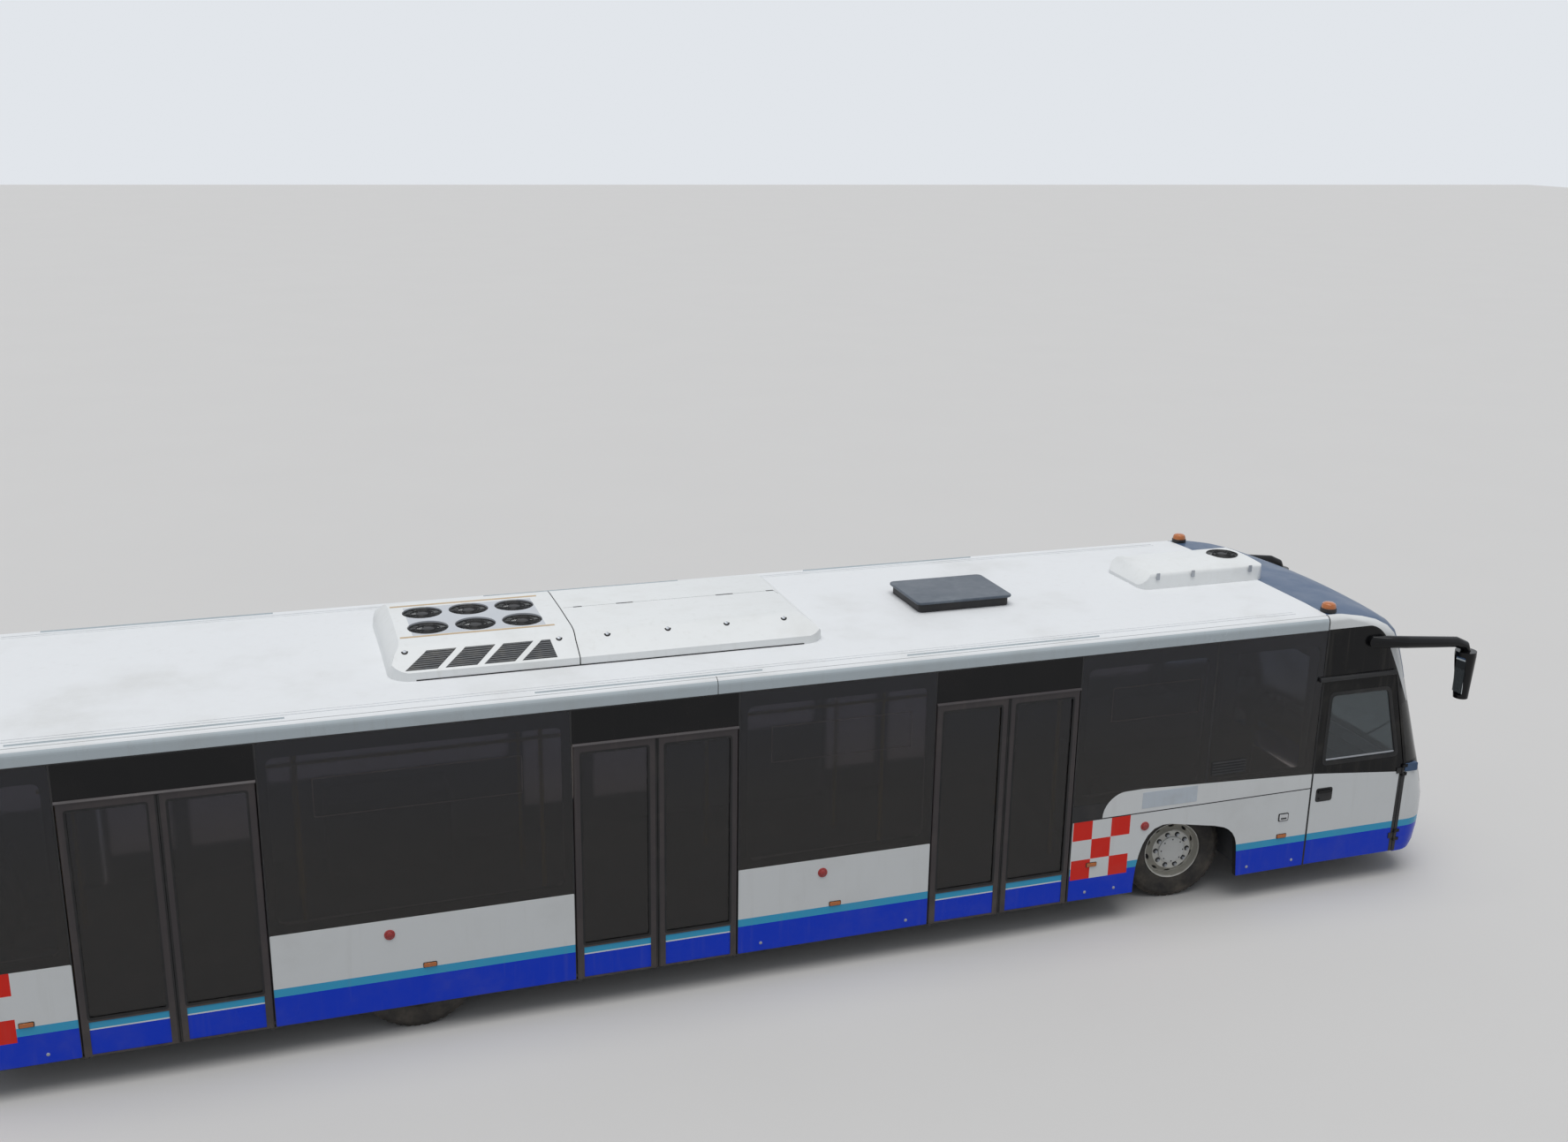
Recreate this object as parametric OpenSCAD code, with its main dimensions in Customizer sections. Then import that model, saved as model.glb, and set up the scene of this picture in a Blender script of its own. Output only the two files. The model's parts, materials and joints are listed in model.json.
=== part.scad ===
// Airport passenger bus. The front points along +X, the left side is +Y, and the ground is z = 0.
// The left side is drawn and mirrored for the right side.

/* [Body] */
// Width over the side walls
body_w = 3000; // [2800:10:3100]
// Front axle to the nose
front_overhang = 3024; // [2950:2:3100]
// Front axle to rear axle
wheelbase = 7526; // [7450:2:7600]
// Rear axle to the tail
rear_overhang = 3670; // [3500:10:3800]
// Height of the skirt's lower edge
skirt_z = 292; // [280:1:300]
// Height of the painted panels' upper edge, where the black band starts
waist_z = 1130; // [1100:10:1200]
// Height of the painted panel's upper edge ahead of the front door
fore_waist_z = 1300; // [1240:10:1340]
// Height where the roof rail starts
rail_z = 2827; // [2800:1:2840]
// Height of the roof's edge above the rail's rounding
roof_z = 2965; // [2950:1:2980]
// Rise of the roof from its edge to the middle
roof_crown = 30; // [20:1:50]
// Thickness of side walls, doors of the cab and the front mask
wall_t = 60; // [50:1:65]
// Thickness of the roof
roof_t = 45; // [35:1:55]

/* [Floor] */
// Height of the floor's upper face
floor_z = 370; // [360:1:390]
// Thickness of the floor
floor_t = 55; // [45:1:60]

/* [Passenger doors] */
// Width of each doorway
door_w = 1470; // [1400:5:1500]
// Height of the doorways' upper edge
door_top_z = 2500; // [2450:5:2520]
// Gap round a door leaf
leaf_gap = 8; // [7:0.5:10]
// Thickness of a leaf
leaf_t = 40; // [36:1:44]
// How far a leaf stands proud of the wall
leaf_proud = 12; // [8:1:16]
// Width of a leaf's frame
leaf_frame = 62; // [50:1:70]
// Height of a leaf's lower panel
leaf_panel_h = 330; // [300:5:360]

/* [Cab] */
// Nose to the rear edge of the cab door
cab_seam = 1685; // [1660:1:1710]
// Width of the cab door
cab_door_w = 1085; // [1050:5:1100]
// Height of the cab door's upper edge
cab_door_top = 2290; // [2250:5:2320]
// Radius of the nose in plan
nose_r = 6000; // [5500:100:7000]
// Radius of the front corners in plan
corner_r = 320; // [300:5:340]
// Half width of the visor and the windscreen's upper part
screen_half = 1420; // [1400:5:1430]
// Height of the windscreen's lower edge
screen_low_z = 1010; // [1000:5:1040]
// Height of the windscreen's upper edge
screen_top_z = 2180; // [2100:5:2200]

/* [Wheels] */
// Outer radius of a tyre
tyre_r = 515; // [505:1:520]
// Width of a tyre
tyre_w = 275; // [255:5:285]
// Radius of the rim's edge
rim_r = 298; // [290:1:300]
// Distance between the front wheels' middles
front_track = 2170; // [2140:5:2200]
// Distance between the rear wheels' middles
rear_track = 2490; // [2450:5:2500]
// Distance between the kingpins
kingpin_track = 1700; // [1680:5:1720]
// Angle of the front wheels as parked, negative to the right
steer_rest = -5; // [-10:1:10]
// Length of the steering arms
steer_arm = 210; // [200:5:220]

/* [Roof units] */
// Length of the roof unit's fan section
fan_section = 1615; // [1560:5:1650]
// Length of the roof unit's plain section
plain_section = 2280; // [2200:10:2300]
// Width of the roof unit
unit_w = 1770; // [1700:10:1800]
// Height of the roof unit above the roof
unit_h = 240; // [200:5:260]
// Radius of a fan opening
fan_r = 178; // [160:1:185]
// Length of the roof hatch
hatch_len = 1015; // [980:5:1100]
// Width of the roof hatch
hatch_w = 760; // [650:10:800]

/* [Mirrors] */
// How far the mirrors reach ahead of the nose
mirror_reach = 65; // [50:1:90]
// How far the mirrors reach outside the body
mirror_side = 170; // [150:5:190]

/* [Hidden] */
$fn = 48;
body_len = front_overhang + wheelbase + rear_overhang;
tail_lamp = 12;
overall_len = body_len + mirror_reach + tail_lamp;
nose_x = overall_len / 2 - mirror_reach;
tail_x = nose_x - body_len;
axle_x = nose_x - front_overhang;
rear_axle_x = axle_x - wheelbase;
seam_x = nose_x - cab_seam;
half_w = body_w / 2;
inner_w = half_w - wall_t;
fit = 0.5;
seat = 0.3;
running = 0.05;
roof_top = roof_z + roof_crown;
shoulder_y = half_w - 420;
shoulder_z = roof_z + roof_crown / 2;
function roof_at(y) = abs(y) < shoulder_y
    ? roof_top - (roof_top - shoulder_z) * abs(y) / shoulder_y
    : shoulder_z - (shoulder_z - roof_z) * (abs(y) - shoulder_y) / 368;
end_t = 60;

// Doorway middles behind the front axle
door_back = [2116, 5456, 9446];
function door_x(i) = axle_x - door_back[i];
SIDES = ["right", "left"];
ENDS = ["front", "rear"];
function leaf_name(i, side, end) = str("door_", i + 1, "_", side, "_", end, "_leaf");

// Shared shapes

function arc(cx, cy, r, a0, a1, n = 6) =
    [for (k = [0:n]) let (a = a0 + (a1 - a0) * k / n) [cx + r * cos(a), cy + r * sin(a)]];
function round_box(x0, y0, x1, y1, r, n = 5) = concat(
    arc(x0 + r, y0 + r, r, 180, 270, n), arc(x1 - r, y0 + r, r, 270, 360, n),
    arc(x1 - r, y1 - r, r, 0, 90, n), arc(x0 + r, y1 - r, r, 90, 180, n));

module rounded(length, width, r) {
    polygon(round_box(-length / 2, -width / 2, length / 2, width / 2, r));
}
module on(side) {
    if (side == "right") mirror([0, 1, 0]) children();
    else children();
}
module both() {
    children();
    mirror([0, 1, 0]) children();
}
// A plate from an x, z outline, from y0 outwards to y1
module side_plate(y0, y1, points) {
    translate([0, y1, 0]) rotate([90, 0, 0]) linear_extrude(y1 - y0) polygon(points);
}
// A bar along x from a y, z outline
module long_bar(x0, x1, points) {
    translate([x0, 0, 0]) rotate([90, 0, 90]) linear_extrude(x1 - x0) polygon(points);
}
module block(x0, x1, y0, y1, z0, z1) {
    translate([x0, y0, z0]) cube([x1 - x0, y1 - y0, z1 - z0]);
}
module bar_y(x, z, r, y0, y1) {
    translate([x, y0, z]) rotate([-90, 0, 0]) cylinder(h = y1 - y0, r = r);
}
module bar_x(y, z, r, x0, x1) {
    translate([x0, y, z]) rotate([0, 90, 0]) cylinder(h = x1 - x0, r = r);
}

// Side walls: columns are the x of a bay's rear and front edges and its lower edge
bays = [
    [tail_x + end_t + 10, door_x(2) - door_w / 2, waist_z],
    [door_x(2) + door_w / 2, door_x(1) - door_w / 2, waist_z],
    [door_x(1) + door_w / 2, door_x(0) - door_w / 2, waist_z],
    [door_x(0) + door_w / 2, axle_x + 84, fore_waist_z],
    [axle_x + 84, seam_x, fore_waist_z]];
pane_t = 8;
pane_edge = 12;
aperture_inset = 80;

// The front arch falls towards the front: distance from the axle and height
arch_points = [for (p = [[-652, 100], [-648, 420], [-636, 560], [-610, 693], [-576, 795],
    [-526, 884], [-456, 948], [-366, 978], [-277, 978], [-22, 931], [236, 884], [344, 853],
    [402, 822], [451, 776], [484, 722], [504, 660], [512, 604], [538, 294], [541, 100]]) [axle_x + p[0], p[1]]];

leaf_z0 = skirt_z + leaf_gap;
leaf_z1 = door_top_z - leaf_gap;
post_r = leaf_t / 2;
post_y = half_w + leaf_proud - post_r;
function post_x(i, end) =
    door_x(i) + (end == "front" ? 1 : -1) * (door_w / 2 - leaf_gap - post_r);
foot_t = 15;

module side_wall(side) color([0.9, 0.91, 0.92]) on(side) {
    difference() {
        block(tail_x + end_t, seam_x - fit, inner_w, half_w, skirt_z, rail_z - fit);
        for (i = [0:2])
            block(door_x(i) - door_w / 2, door_x(i) + door_w / 2, inner_w - 1, half_w + 1, 0, door_top_z);
        side_plate(inner_w - 1, half_w + 1, arch_points);
        for (b = bays) {
            block(b[0] + pane_edge, b[1] - pane_edge, half_w - pane_t - fit, half_w + 1,
                b[2], rail_z - pane_edge);
            side_plate(inner_w - 1, half_w, round_box(b[0] + aperture_inset, b[2] + aperture_inset,
                b[1] - aperture_inset, rail_z - 150, 60));
        }
    }
    for (i = [0:2], e = ENDS) {
        reach = (e == "front" ? 1 : -1) * (leaf_gap + post_r + 30);
        hull() {
            translate([post_x(i, e), post_y, leaf_z0 - fit - foot_t])
                cylinder(h = foot_t, r = post_r, $fn = 24);
            translate([post_x(i, e) + reach, half_w - 30, leaf_z0 - fit - foot_t])
                cylinder(h = foot_t, r = post_r, $fn = 24);
        }
        translate([post_x(i, e), post_y, leaf_z1 + fit])
            cylinder(h = door_top_z - leaf_z1 - fit + 10, r = post_r - 2);
    }
}

module windows() color([0.12, 0.13, 0.15, 0.6]) {
    both() for (b = bays)
        side_plate(half_w - pane_t, half_w, round_box(b[0] + pane_edge + fit, b[2] + fit,
            b[1] - pane_edge - fit, rail_z - pane_edge - fit, 8, 2));
    rear_pane(0);
}

// Roof
rail_h = 75;
module roof() color([0.93, 0.94, 0.94]) {
    edge = roof_z - rail_z - rail_h;
    outer = concat([[half_w, rail_z]], arc(half_w - edge, rail_z + rail_h, edge, 0, 80, 6),
        [[shoulder_y, shoulder_z]], [[0, roof_top]]);
    inner = [[0, roof_top - roof_t], [shoulder_y, shoulder_z - roof_t],
        [half_w - 170, roof_z - roof_t], [inner_w, rail_z + 40], [inner_w, rail_z]];
    difference() {
        both() {
            long_bar(tail_x + end_t + fit, seam_x - fit, concat(outer, inner));
            for (y = [half_w - 215, half_w - 165])
                block(tail_x + 400, seam_x - 300, y - 6, y + 6, roof_z - 5, roof_z + 10);
        }
        translate([hatch_x, 0, roof_z - 200]) linear_extrude(400)
            rounded(hatch_len - 140, hatch_w - 140, 30);
    }
}

// Nose: columns of the profile are the distance behind the foremost line and the height
nose_profile = [[75, skirt_z], [40, 360], [12, 520], [0, 700], [6, 860], [38, 1000], [105, 1240],
    [180, 1460], [275, 1760], [375, 2060], [455, 2330], [535, 2560], [600, 2700], [700, 2795],
    [850, 2870], [1020, 2918], [1260, 2960], [cab_seam, roof_top], [cab_seam + 400, roof_top + 60]];
bow = asin((half_w - corner_r) / (nose_r - corner_r));
corner_x = nose_r - (nose_r - corner_r) * cos(bow);
corner_y = half_w - corner_r;
// Half of the plan, as distance behind the foremost point and distance from the middle
function nose_plan(shift) = concat(
    [for (k = [0:5]) let (a = bow * k / 5) [nose_r - (nose_r - shift) * cos(a), (nose_r - shift) * sin(a)]],
    [for (k = [1:9]) let (a = bow + (90 - bow) * k / 9)
        [corner_x - (corner_r - shift) * cos(a), corner_y + (corner_r - shift) * sin(a)]],
    [[cab_seam + 500, half_w - shift]]);
module nose_loft(shift = 0) {
    low = shift > 0 ? skirt_z - 10 : skirt_z;
    half = nose_plan(shift);
    n = len(half);
    ring = concat([for (k = [n - 1:-1:1]) [half[k][0], -half[k][1]]], half);
    m = len(ring);
    rows = len(nose_profile);
    lift = [for (p = nose_profile) p[1] == skirt_z ? low : p[1] > 2400 ? p[1] - shift : p[1]];
    points = [for (i = [0:rows - 1], q = ring)
        [nose_x - nose_profile[i][0] - q[0] + (q[0] > cab_seam ? nose_profile[i][0] : 0), q[1], lift[i]]];
    sides = [for (i = [0:rows - 2], j = [0:m - 1], h = [0, 1]) let (k = (j + 1) % m)
        h == 0 ? [i * m + j, (i + 1) * m + k, i * m + k] : [i * m + j, (i + 1) * m + j, (i + 1) * m + k]];
    bottom = [for (j = [0:m - 1]) j];
    top = [for (j = [m - 1:-1:0]) (rows - 1) * m + j];
    polyhedron(points, concat(sides, [bottom, top]));
}
module nose_roof(shift = 0) {
    edge = roof_z - rail_z - rail_h;
    w = half_w - shift;
    points = concat([[w, 0]], arc(w - edge, rail_z + rail_h - shift, edge, 0, 80, 6),
        [[shoulder_y - shift, shoulder_z - shift], [0, roof_top - shift],
         [-shoulder_y + shift, shoulder_z - shift]],
        arc(-w + edge, rail_z + rail_h - shift, edge, 100, 180, 6), [[-w, 0]]);
    long_bar(seam_x - shift, nose_x + 100, points);
}
module nose(shift = 0) {
    intersection() {
        nose_loft(shift);
        nose_roof(shift);
    }
}
// The cab door's outline, from its rear lower corner
cab_door_rear = seam_x + 10;
cab_door_front = cab_door_rear + cab_door_w;
door_lean = 230;
function door_edge_x(z) =
    cab_door_front - door_lean * (z - fore_waist_z) / (cab_door_top - fore_waist_z);
module cab_door_plate(y0, y1, gap) {
    side_plate(y0, y1, [[cab_door_rear - gap, skirt_z + 8 - gap], [cab_door_front + gap, skirt_z + 8 - gap],
        [cab_door_front + gap, fore_waist_z], [cab_door_front - door_lean + gap, cab_door_top + gap],
        [cab_door_rear - gap, cab_door_top + gap]]);
}
hinge_x = cab_door_front + 6;
hinge_y = half_w + 11;
hinge_zs = [450, 1180];
hinge_pin = 7;
hinge_eye = 12;
hinge_h = 60;

// The windscreen runs round the corners below the pillars' ends
pillar_end_z = 1950;
pillar_w = 45;
module screen_cut(gap = 0) {
    w = screen_half - gap;
    low = screen_low_z + gap;
    translate([nose_x - 900, 0, 0]) rotate([90, 0, 90]) linear_extrude(1000)
        polygon([[-w, low], [w, low], [w, screen_top_z - gap], [-w, screen_top_z - gap]]);
    side_plate(-half_w - 1, half_w + 1, [[cab_door_front + pillar_w + gap, fore_waist_z + gap],
        [nose_x + 50, fore_waist_z + gap], [nose_x + 50, pillar_end_z - gap],
        [door_edge_x(pillar_end_z) + pillar_w + gap, pillar_end_z - gap]]);
}
module visor_cut(gap = 0) {
    low = screen_top_z + 15 + gap;
    w = screen_half - gap;
    translate([seam_x + gap, 0, 0]) rotate([90, 0, 90]) linear_extrude(1500)
        polygon([[-w, low], [w, low], [w + 15, 3200], [-w - 15, 3200]]);
}

module front_mask() color([0.93, 0.94, 0.94]) {
    difference() {
        nose();
        nose(wall_t);
        screen_cut();
        visor_cut();
        both() cab_door_plate(half_w - 2 * wall_t, half_w + 10, 12);
    }
    both() for (z = hinge_zs) {
        translate([hinge_x, hinge_y, z - 30]) cylinder(h = hinge_h + 60, r = hinge_pin);
        for (low = [z - 32, z + hinge_h + seat]) {
            translate([hinge_x, hinge_y, low]) cylinder(h = 32, r = hinge_eye);
            block(hinge_x, hinge_x + 60, half_w - 20, half_w + 10, low, low + 32);
        }
    }
}
module windscreen() color([0.15, 0.18, 0.2, 0.6]) {
    intersection() {
        difference() {
            nose();
            nose(12);
        }
        screen_cut(fit);
    }
}
module front_visor() color([0.2, 0.25, 0.32]) {
    intersection() {
        difference() {
            nose();
            nose(40);
        }
        visor_cut(fit);
    }
}

module cab_door(side) color([0.9, 0.91, 0.92]) on(side) {
    difference() {
        cab_door_plate(half_w - wall_t, half_w, 0);
        side_plate(half_w - wall_t - 1, half_w - 20, [[cab_door_rear + 60, fore_waist_z + 60],
            [cab_door_front - 80, fore_waist_z + 60], [cab_door_front - door_lean - 60, cab_door_top - 70],
            [cab_door_rear + 60, cab_door_top - 70]]);
        side_plate(half_w - 21, half_w + 1, [[cab_door_rear + 105, fore_waist_z + 100],
            [cab_door_front - 95, fore_waist_z + 100], [cab_door_front - door_lean - 60, cab_door_top - 150],
            [cab_door_rear + 105, cab_door_top - 150]]);
    }
    for (z = hinge_zs) difference() {
        union() {
            translate([hinge_x, hinge_y, z + seat]) cylinder(h = hinge_h - 2 * seat, r = hinge_eye);
            block(hinge_x - 70, hinge_x, half_w - 5, half_w + 9, z + seat, z + hinge_h - seat);
        }
        translate([hinge_x, hinge_y, z - 1]) cylinder(h = hinge_h + 2, r = hinge_pin + running);
    }
}

// Rear wall
module rear_outline(y0, y1, z0, z1, r) {
    polygon(round_box(y0, z0, y1, z1, r));
}
rear_r = 90;
module rear_wall() color([0.9, 0.91, 0.92]) {
    difference() {
        translate([tail_x, 0, 0]) rotate([90, 0, 90]) linear_extrude(end_t)
            polygon(concat([[-half_w, skirt_z], [half_w, skirt_z]],
                arc(half_w - rear_r, roof_z - rear_r, rear_r, 0, 80, 6), [[0, roof_top]],
                arc(-half_w + rear_r, roof_z - rear_r, rear_r, 100, 180, 6)));
        rear_pane(-fit);
        translate([tail_x - 1, 0, 0]) rotate([90, 0, 90]) linear_extrude(end_t + 2)
            rear_outline(-half_w + 280, half_w - 280, 1500, 2600, 60);
    }
}
module rear_pane(gap) {
    translate([tail_x - (gap < 0 ? 1 : 0), 0, 0]) rotate([90, 0, 90])
        linear_extrude(pane_t + (gap < 0 ? 1 : 0) - gap)
        rear_outline(-half_w + 200 + gap, half_w - 200 - gap, 1420 + gap, 2680 - gap, 30);
}

// Passenger door leaf: it turns on the round post at its outer edge
leaf_w = (door_w - 2 * leaf_gap - 10) / 2;
module door_leaf(i, side, end) color([0.16, 0.16, 0.18]) on(side) {
    x = post_x(i, end);
    dir = end == "front" ? -1 : 1;
    y0 = post_y - post_r;
    y1 = post_y + post_r;
    far = leaf_w - post_r;
    translate([x, 0, 0]) mirror([dir > 0 ? 0 : 1, 0, 0]) {
        difference() {
            union() {
                translate([0, post_y, leaf_z0]) cylinder(h = leaf_z1 - leaf_z0, r = post_r);
                block(0, far, y0, y1, leaf_z0, leaf_z1);
            }
            side_plate(y0 - 1, y1 + 1, round_box(leaf_frame - post_r, leaf_z0 + leaf_panel_h,
                far - leaf_frame, leaf_z1 - leaf_frame, 20, 3));
            block(leaf_frame - post_r, far - leaf_frame, y1 - 6, y1 + 1, leaf_z0 + 15,
                leaf_z0 + leaf_panel_h - 25);
        }
        side_plate(y0 + 14, y1 - 14, round_box(leaf_frame - post_r + fit, leaf_z0 + leaf_panel_h + fit,
            far - leaf_frame - fit, leaf_z1 - leaf_frame - fit, 20 - fit, 3));
    }
}

// Floor with wheel boxes
front_box = [640, 1360, 1150];
rear_box = [980, 1200, 1130];
module wheel_box(x, size, t) {
    block(x - size[1] / 2 + t, x + size[1] / 2 - t, size[0] + t, inner_w - 2 + t,
        floor_z - floor_t - t, size[2] - t);
}
box_t = 20;
// The opening for engine and front rails
bay_rear = axle_x - 790;
bay_front = axle_x + 1200;
bay_half = 600;
module engine_cover() color([0.45, 0.46, 0.48]) {
    difference() {
        block(bay_rear - 20, bay_front + 20, -bay_half - 36, bay_half + 36, floor_z, 1440);
        block(bay_rear - 4, bay_front + 4, -bay_half - 20, bay_half + 20, floor_z - 1, 1424);
        block(axle_x - 270, axle_x + 160, -front_box[0], front_box[0], floor_z - 1, 640);
    }
}
module floor_deck() color([0.32, 0.33, 0.34]) {
    difference() {
        union() {
            block(tail_x + end_t + fit, nose_x - 520, -inner_w + 2, inner_w - 2, floor_z - floor_t, floor_z);
            both() {
                wheel_box(axle_x, front_box, 0);
                wheel_box(rear_axle_x, rear_box, 0);
            }
        }
        both() {
            wheel_box(axle_x, front_box, box_t);
            wheel_box(rear_axle_x, rear_box, box_t);
        }
        block(bay_rear, bay_front, -bay_half, bay_half, 0, floor_z + 1);
        block(axle_x - 270, axle_x + 160, -front_box[0] - box_t - 1, front_box[0] + box_t + 1, 0, 640);
    }
}

// Chassis
chassis_low = 190;
tow_r = 20.5;
tow_back = 460;
tow_plate = 16;
rail_y = 380;
rail_w = 80;
cross_h = 60;
cross_z = floor_z - floor_t - cross_h;
front_rail_z = 640;
front_rail_top = 760;
// Cross members: distance behind the front axle
cross_back = [-2300, -1105, 650, 1700, 2800, 4000, 5200, 6500, wheelbase + 900, wheelbase + 1500,
    wheelbase + rear_overhang - 300];
module rail(x0, x1, z0, z1) {
    both() block(x0, x1, rail_y, rail_y + rail_w, z0, z1);
}
module chassis() color([0.15, 0.15, 0.16]) {
    top = cross_z - seat;
    rear_post = axle_x - 700;
    fore_post = axle_x + 1100;
    rail(tail_x + 300, rear_axle_x - 700, chassis_low, top);
    rail(rear_axle_x - 700 + seat, rear_axle_x + 700 - seat, chassis_low + 65, cross_z + cross_h);
    rail(rear_axle_x + 700, rear_post - rail_w - seat, chassis_low, top);
    rail(rear_post - rail_w, rear_post, chassis_low, front_rail_z - seat);
    rail(rear_post - rail_w, fore_post, front_rail_z, front_rail_top);
    rail(fore_post - rail_w, fore_post, chassis_low, front_rail_z - seat);
    rail(fore_post + seat, nose_x - 500, chassis_low, top);
    for (back = cross_back) {
        x = axle_x - back - rail_w / 2;
        if (back > 0 || back < -1200)
            block(x, x + rail_w, -inner_w + 60, inner_w - 60, cross_z, cross_z + cross_h);
        else both() block(x, x + rail_w, rail_y + rail_w + seat, inner_w - 60, cross_z, cross_z + cross_h);
    }
    difference() {
        for (z = [chassis_low, chassis_low + 48]) {
            block(nose_x - 571, nose_x - 400, -60, 60, z, z + tow_plate);
            block(tail_x + 130, tail_x + 301, -60, 60, z, z + tow_plate);
        }
        for (x = [nose_x - tow_back, tail_x + 190])
            translate([x, 0, 0]) cylinder(h = 500, r = tow_r);
    }
    for (x = [nose_x - 640, tail_x + 301 + seat])
        block(x, x + 69 - seat, -rail_y + seat, rail_y - seat, chassis_low, cross_z - seat);
}

// Front axle, knuckles and tie rod
hub_z = tyre_r;
knuckle_half = 95;
module front_axle() color([0.2, 0.2, 0.21]) {
    bar_y(axle_x, hub_z, 62, -kingpin_track / 2 + 130, kingpin_track / 2 - 130);
    translate([axle_x, 0, hub_z]) wheel_turned([[0, -170], [90, -170], [122, -130], [150, -50],
        [150, 50], [122, 130], [90, 170], [0, 170]]);
    both() {
        difference() {
            block(axle_x - 55, axle_x + 55, kingpin_track / 2 - 150, kingpin_track / 2 + 45,
                hub_z - 150, hub_z + 150);
            block(axle_x - 90, axle_x + 90, kingpin_track / 2 - 75, kingpin_track / 2 + 60,
                hub_z - knuckle_half - 5, hub_z + knuckle_half + 5);
            translate([axle_x, kingpin_track / 2, hub_z - 200]) cylinder(h = 400, r = 22 + running);
        }
        block(axle_x - 60, axle_x + 60, 385, 455, hub_z + 40, 640);
    }
}
module steered(side) {
    on(side) translate([axle_x, kingpin_track / 2, 0])
        rotate([0, 0, side == "right" ? -steer_rest : steer_rest]) children();
}
wheel_y = (front_track - kingpin_track) / 2;
module knuckle(side) color([0.24, 0.24, 0.25]) steered(side) {
    translate([0, 0, hub_z - 158]) cylinder(h = 316, r = 22);
    translate([0, 0, hub_z - knuckle_half]) cylinder(h = 2 * knuckle_half, r = 58);
    bar_y(0, hub_z, 45, 0, wheel_y + 90);
    block(-steer_arm, 0, -22, 22, hub_z - 90, hub_z - 60);
    translate([-steer_arm, 0, hub_z - 90]) cylinder(h = 30, r = 30);
    translate([-steer_arm, 0, hub_z - 145]) cylinder(h = 60, r = 14);
}
module tie_rod() color([0.24, 0.24, 0.25]) {
    x = axle_x - steer_arm * cos(steer_rest);
    dy = -steer_arm * sin(steer_rest);
    difference() {
        union() {
            bar_y(x, hub_z - 118, 20, dy - kingpin_track / 2, dy + kingpin_track / 2);
            for (s = [-1, 1])
                translate([x, dy + s * kingpin_track / 2, hub_z - 140]) cylinder(h = 44, r = 34);
        }
        for (s = [-1, 1])
            translate([x, dy + s * kingpin_track / 2, hub_z - 160]) cylinder(h = 80, r = 14 + running);
    }
}

// Rear axle: stub axles on trailing arms, joined by a low beam
rear_wheel_y = rear_track / 2;
module rear_axle() color([0.2, 0.2, 0.21]) {
    block(rear_axle_x - 60, rear_axle_x + 60, -1050, 1050, 165, 250);
    both() {
        block(rear_axle_x - 70, rear_axle_x + 70, 1010, 1080, 165, hub_z + 70);
        bar_y(rear_axle_x, hub_z, 45, 1040, rear_wheel_y + 90);
        block(rear_axle_x, rear_axle_x + 760, 1000, 1060, 200, 280);
        block(rear_axle_x + 690, rear_axle_x + 830, 1000, 1060, 200, floor_z - floor_t - seat);
    }
}

// Wheels: the outline is in radius and distance outwards from the wheel's middle
stub_r = 45 + running;
rim_outline = [[stub_r, 20], [stub_r, 112], [105, 112], [112, 100], [150, 96], [168, 80], [232, 84],
    [262, 60], [270, 100], [rim_r - 8, 112], [rim_r, 118], [rim_r, 104], [rim_r - 14, 98], [282, 70],
    [276, 20], [270, -20], [282, -70], [rim_r - 14, -98], [rim_r, -104], [rim_r, -118],
    [rim_r - 8, -112], [262, -80], [254, -20], [254, 30], [228, 62], [160, 60], [140, 62], [105, 30], [100, 20]];
module wheel_turned(points) {
    rotate([-90, 0, 0]) rotate_extrude($fn = 96) polygon(points);
}
tyre_fit = 0.3;
tyre_outline = concat([[rim_r - 12 + tyre_fit, 97], [rim_r + tyre_fit, 103]],
    arc(rim_r + 60, tyre_w / 2 - 40, 40, 150, 90, 3), arc(tyre_r - 60, tyre_w / 2 - 26, 26, 90, 60, 2),
    [[tyre_r - 14, tyre_w / 2 - 30], [tyre_r, tyre_w / 2 - 52], [tyre_r, -tyre_w / 2 + 52],
     [tyre_r - 14, -tyre_w / 2 + 30]], arc(tyre_r - 60, -tyre_w / 2 + 26, 26, -60, -90, 2),
    arc(rim_r + 60, -tyre_w / 2 + 40, 40, -90, -150, 3),
    [[rim_r + tyre_fit, -103], [rim_r - 12 + tyre_fit, -97], [282 + tyre_fit, -70], [270 + 6 + tyre_fit, 0],
     [282 + tyre_fit, 70]]);
bolt_pcd = 335;
module wheel_shape() {
    difference() {
        wheel_turned(rim_outline);
        for (k = [0:7]) rotate([0, k * 45, 0]) translate([202, 0, 0]) rotate([-90, 0, 0])
            cylinder(h = 300, r = 22, $fn = 24);
    }
    for (k = [0:9]) rotate([0, k * 36 + 18, 0]) translate([bolt_pcd / 2 - 25, 78, 0]) rotate([-90, 0, 0])
        cylinder(h = 36, r = 15, $fn = 6);
}
module place_wheel(axle, side) {
    if (axle == "front") steered(side) translate([0, wheel_y, hub_z]) children();
    else on(side) translate([rear_axle_x, rear_wheel_y, hub_z]) children();
}
module wheel(axle, side) color([0.8, 0.8, 0.78]) place_wheel(axle, side) wheel_shape();
module tyre(axle, side) color([0.08, 0.08, 0.08]) place_wheel(axle, side) wheel_turned(tyre_outline);

// Roof units
unit_front_x = axle_x - 3690;
unit_seam = 10;
unit_rear_x = unit_front_x - fan_section - plain_section - unit_seam;
unit_top = roof_top + unit_h;
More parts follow.
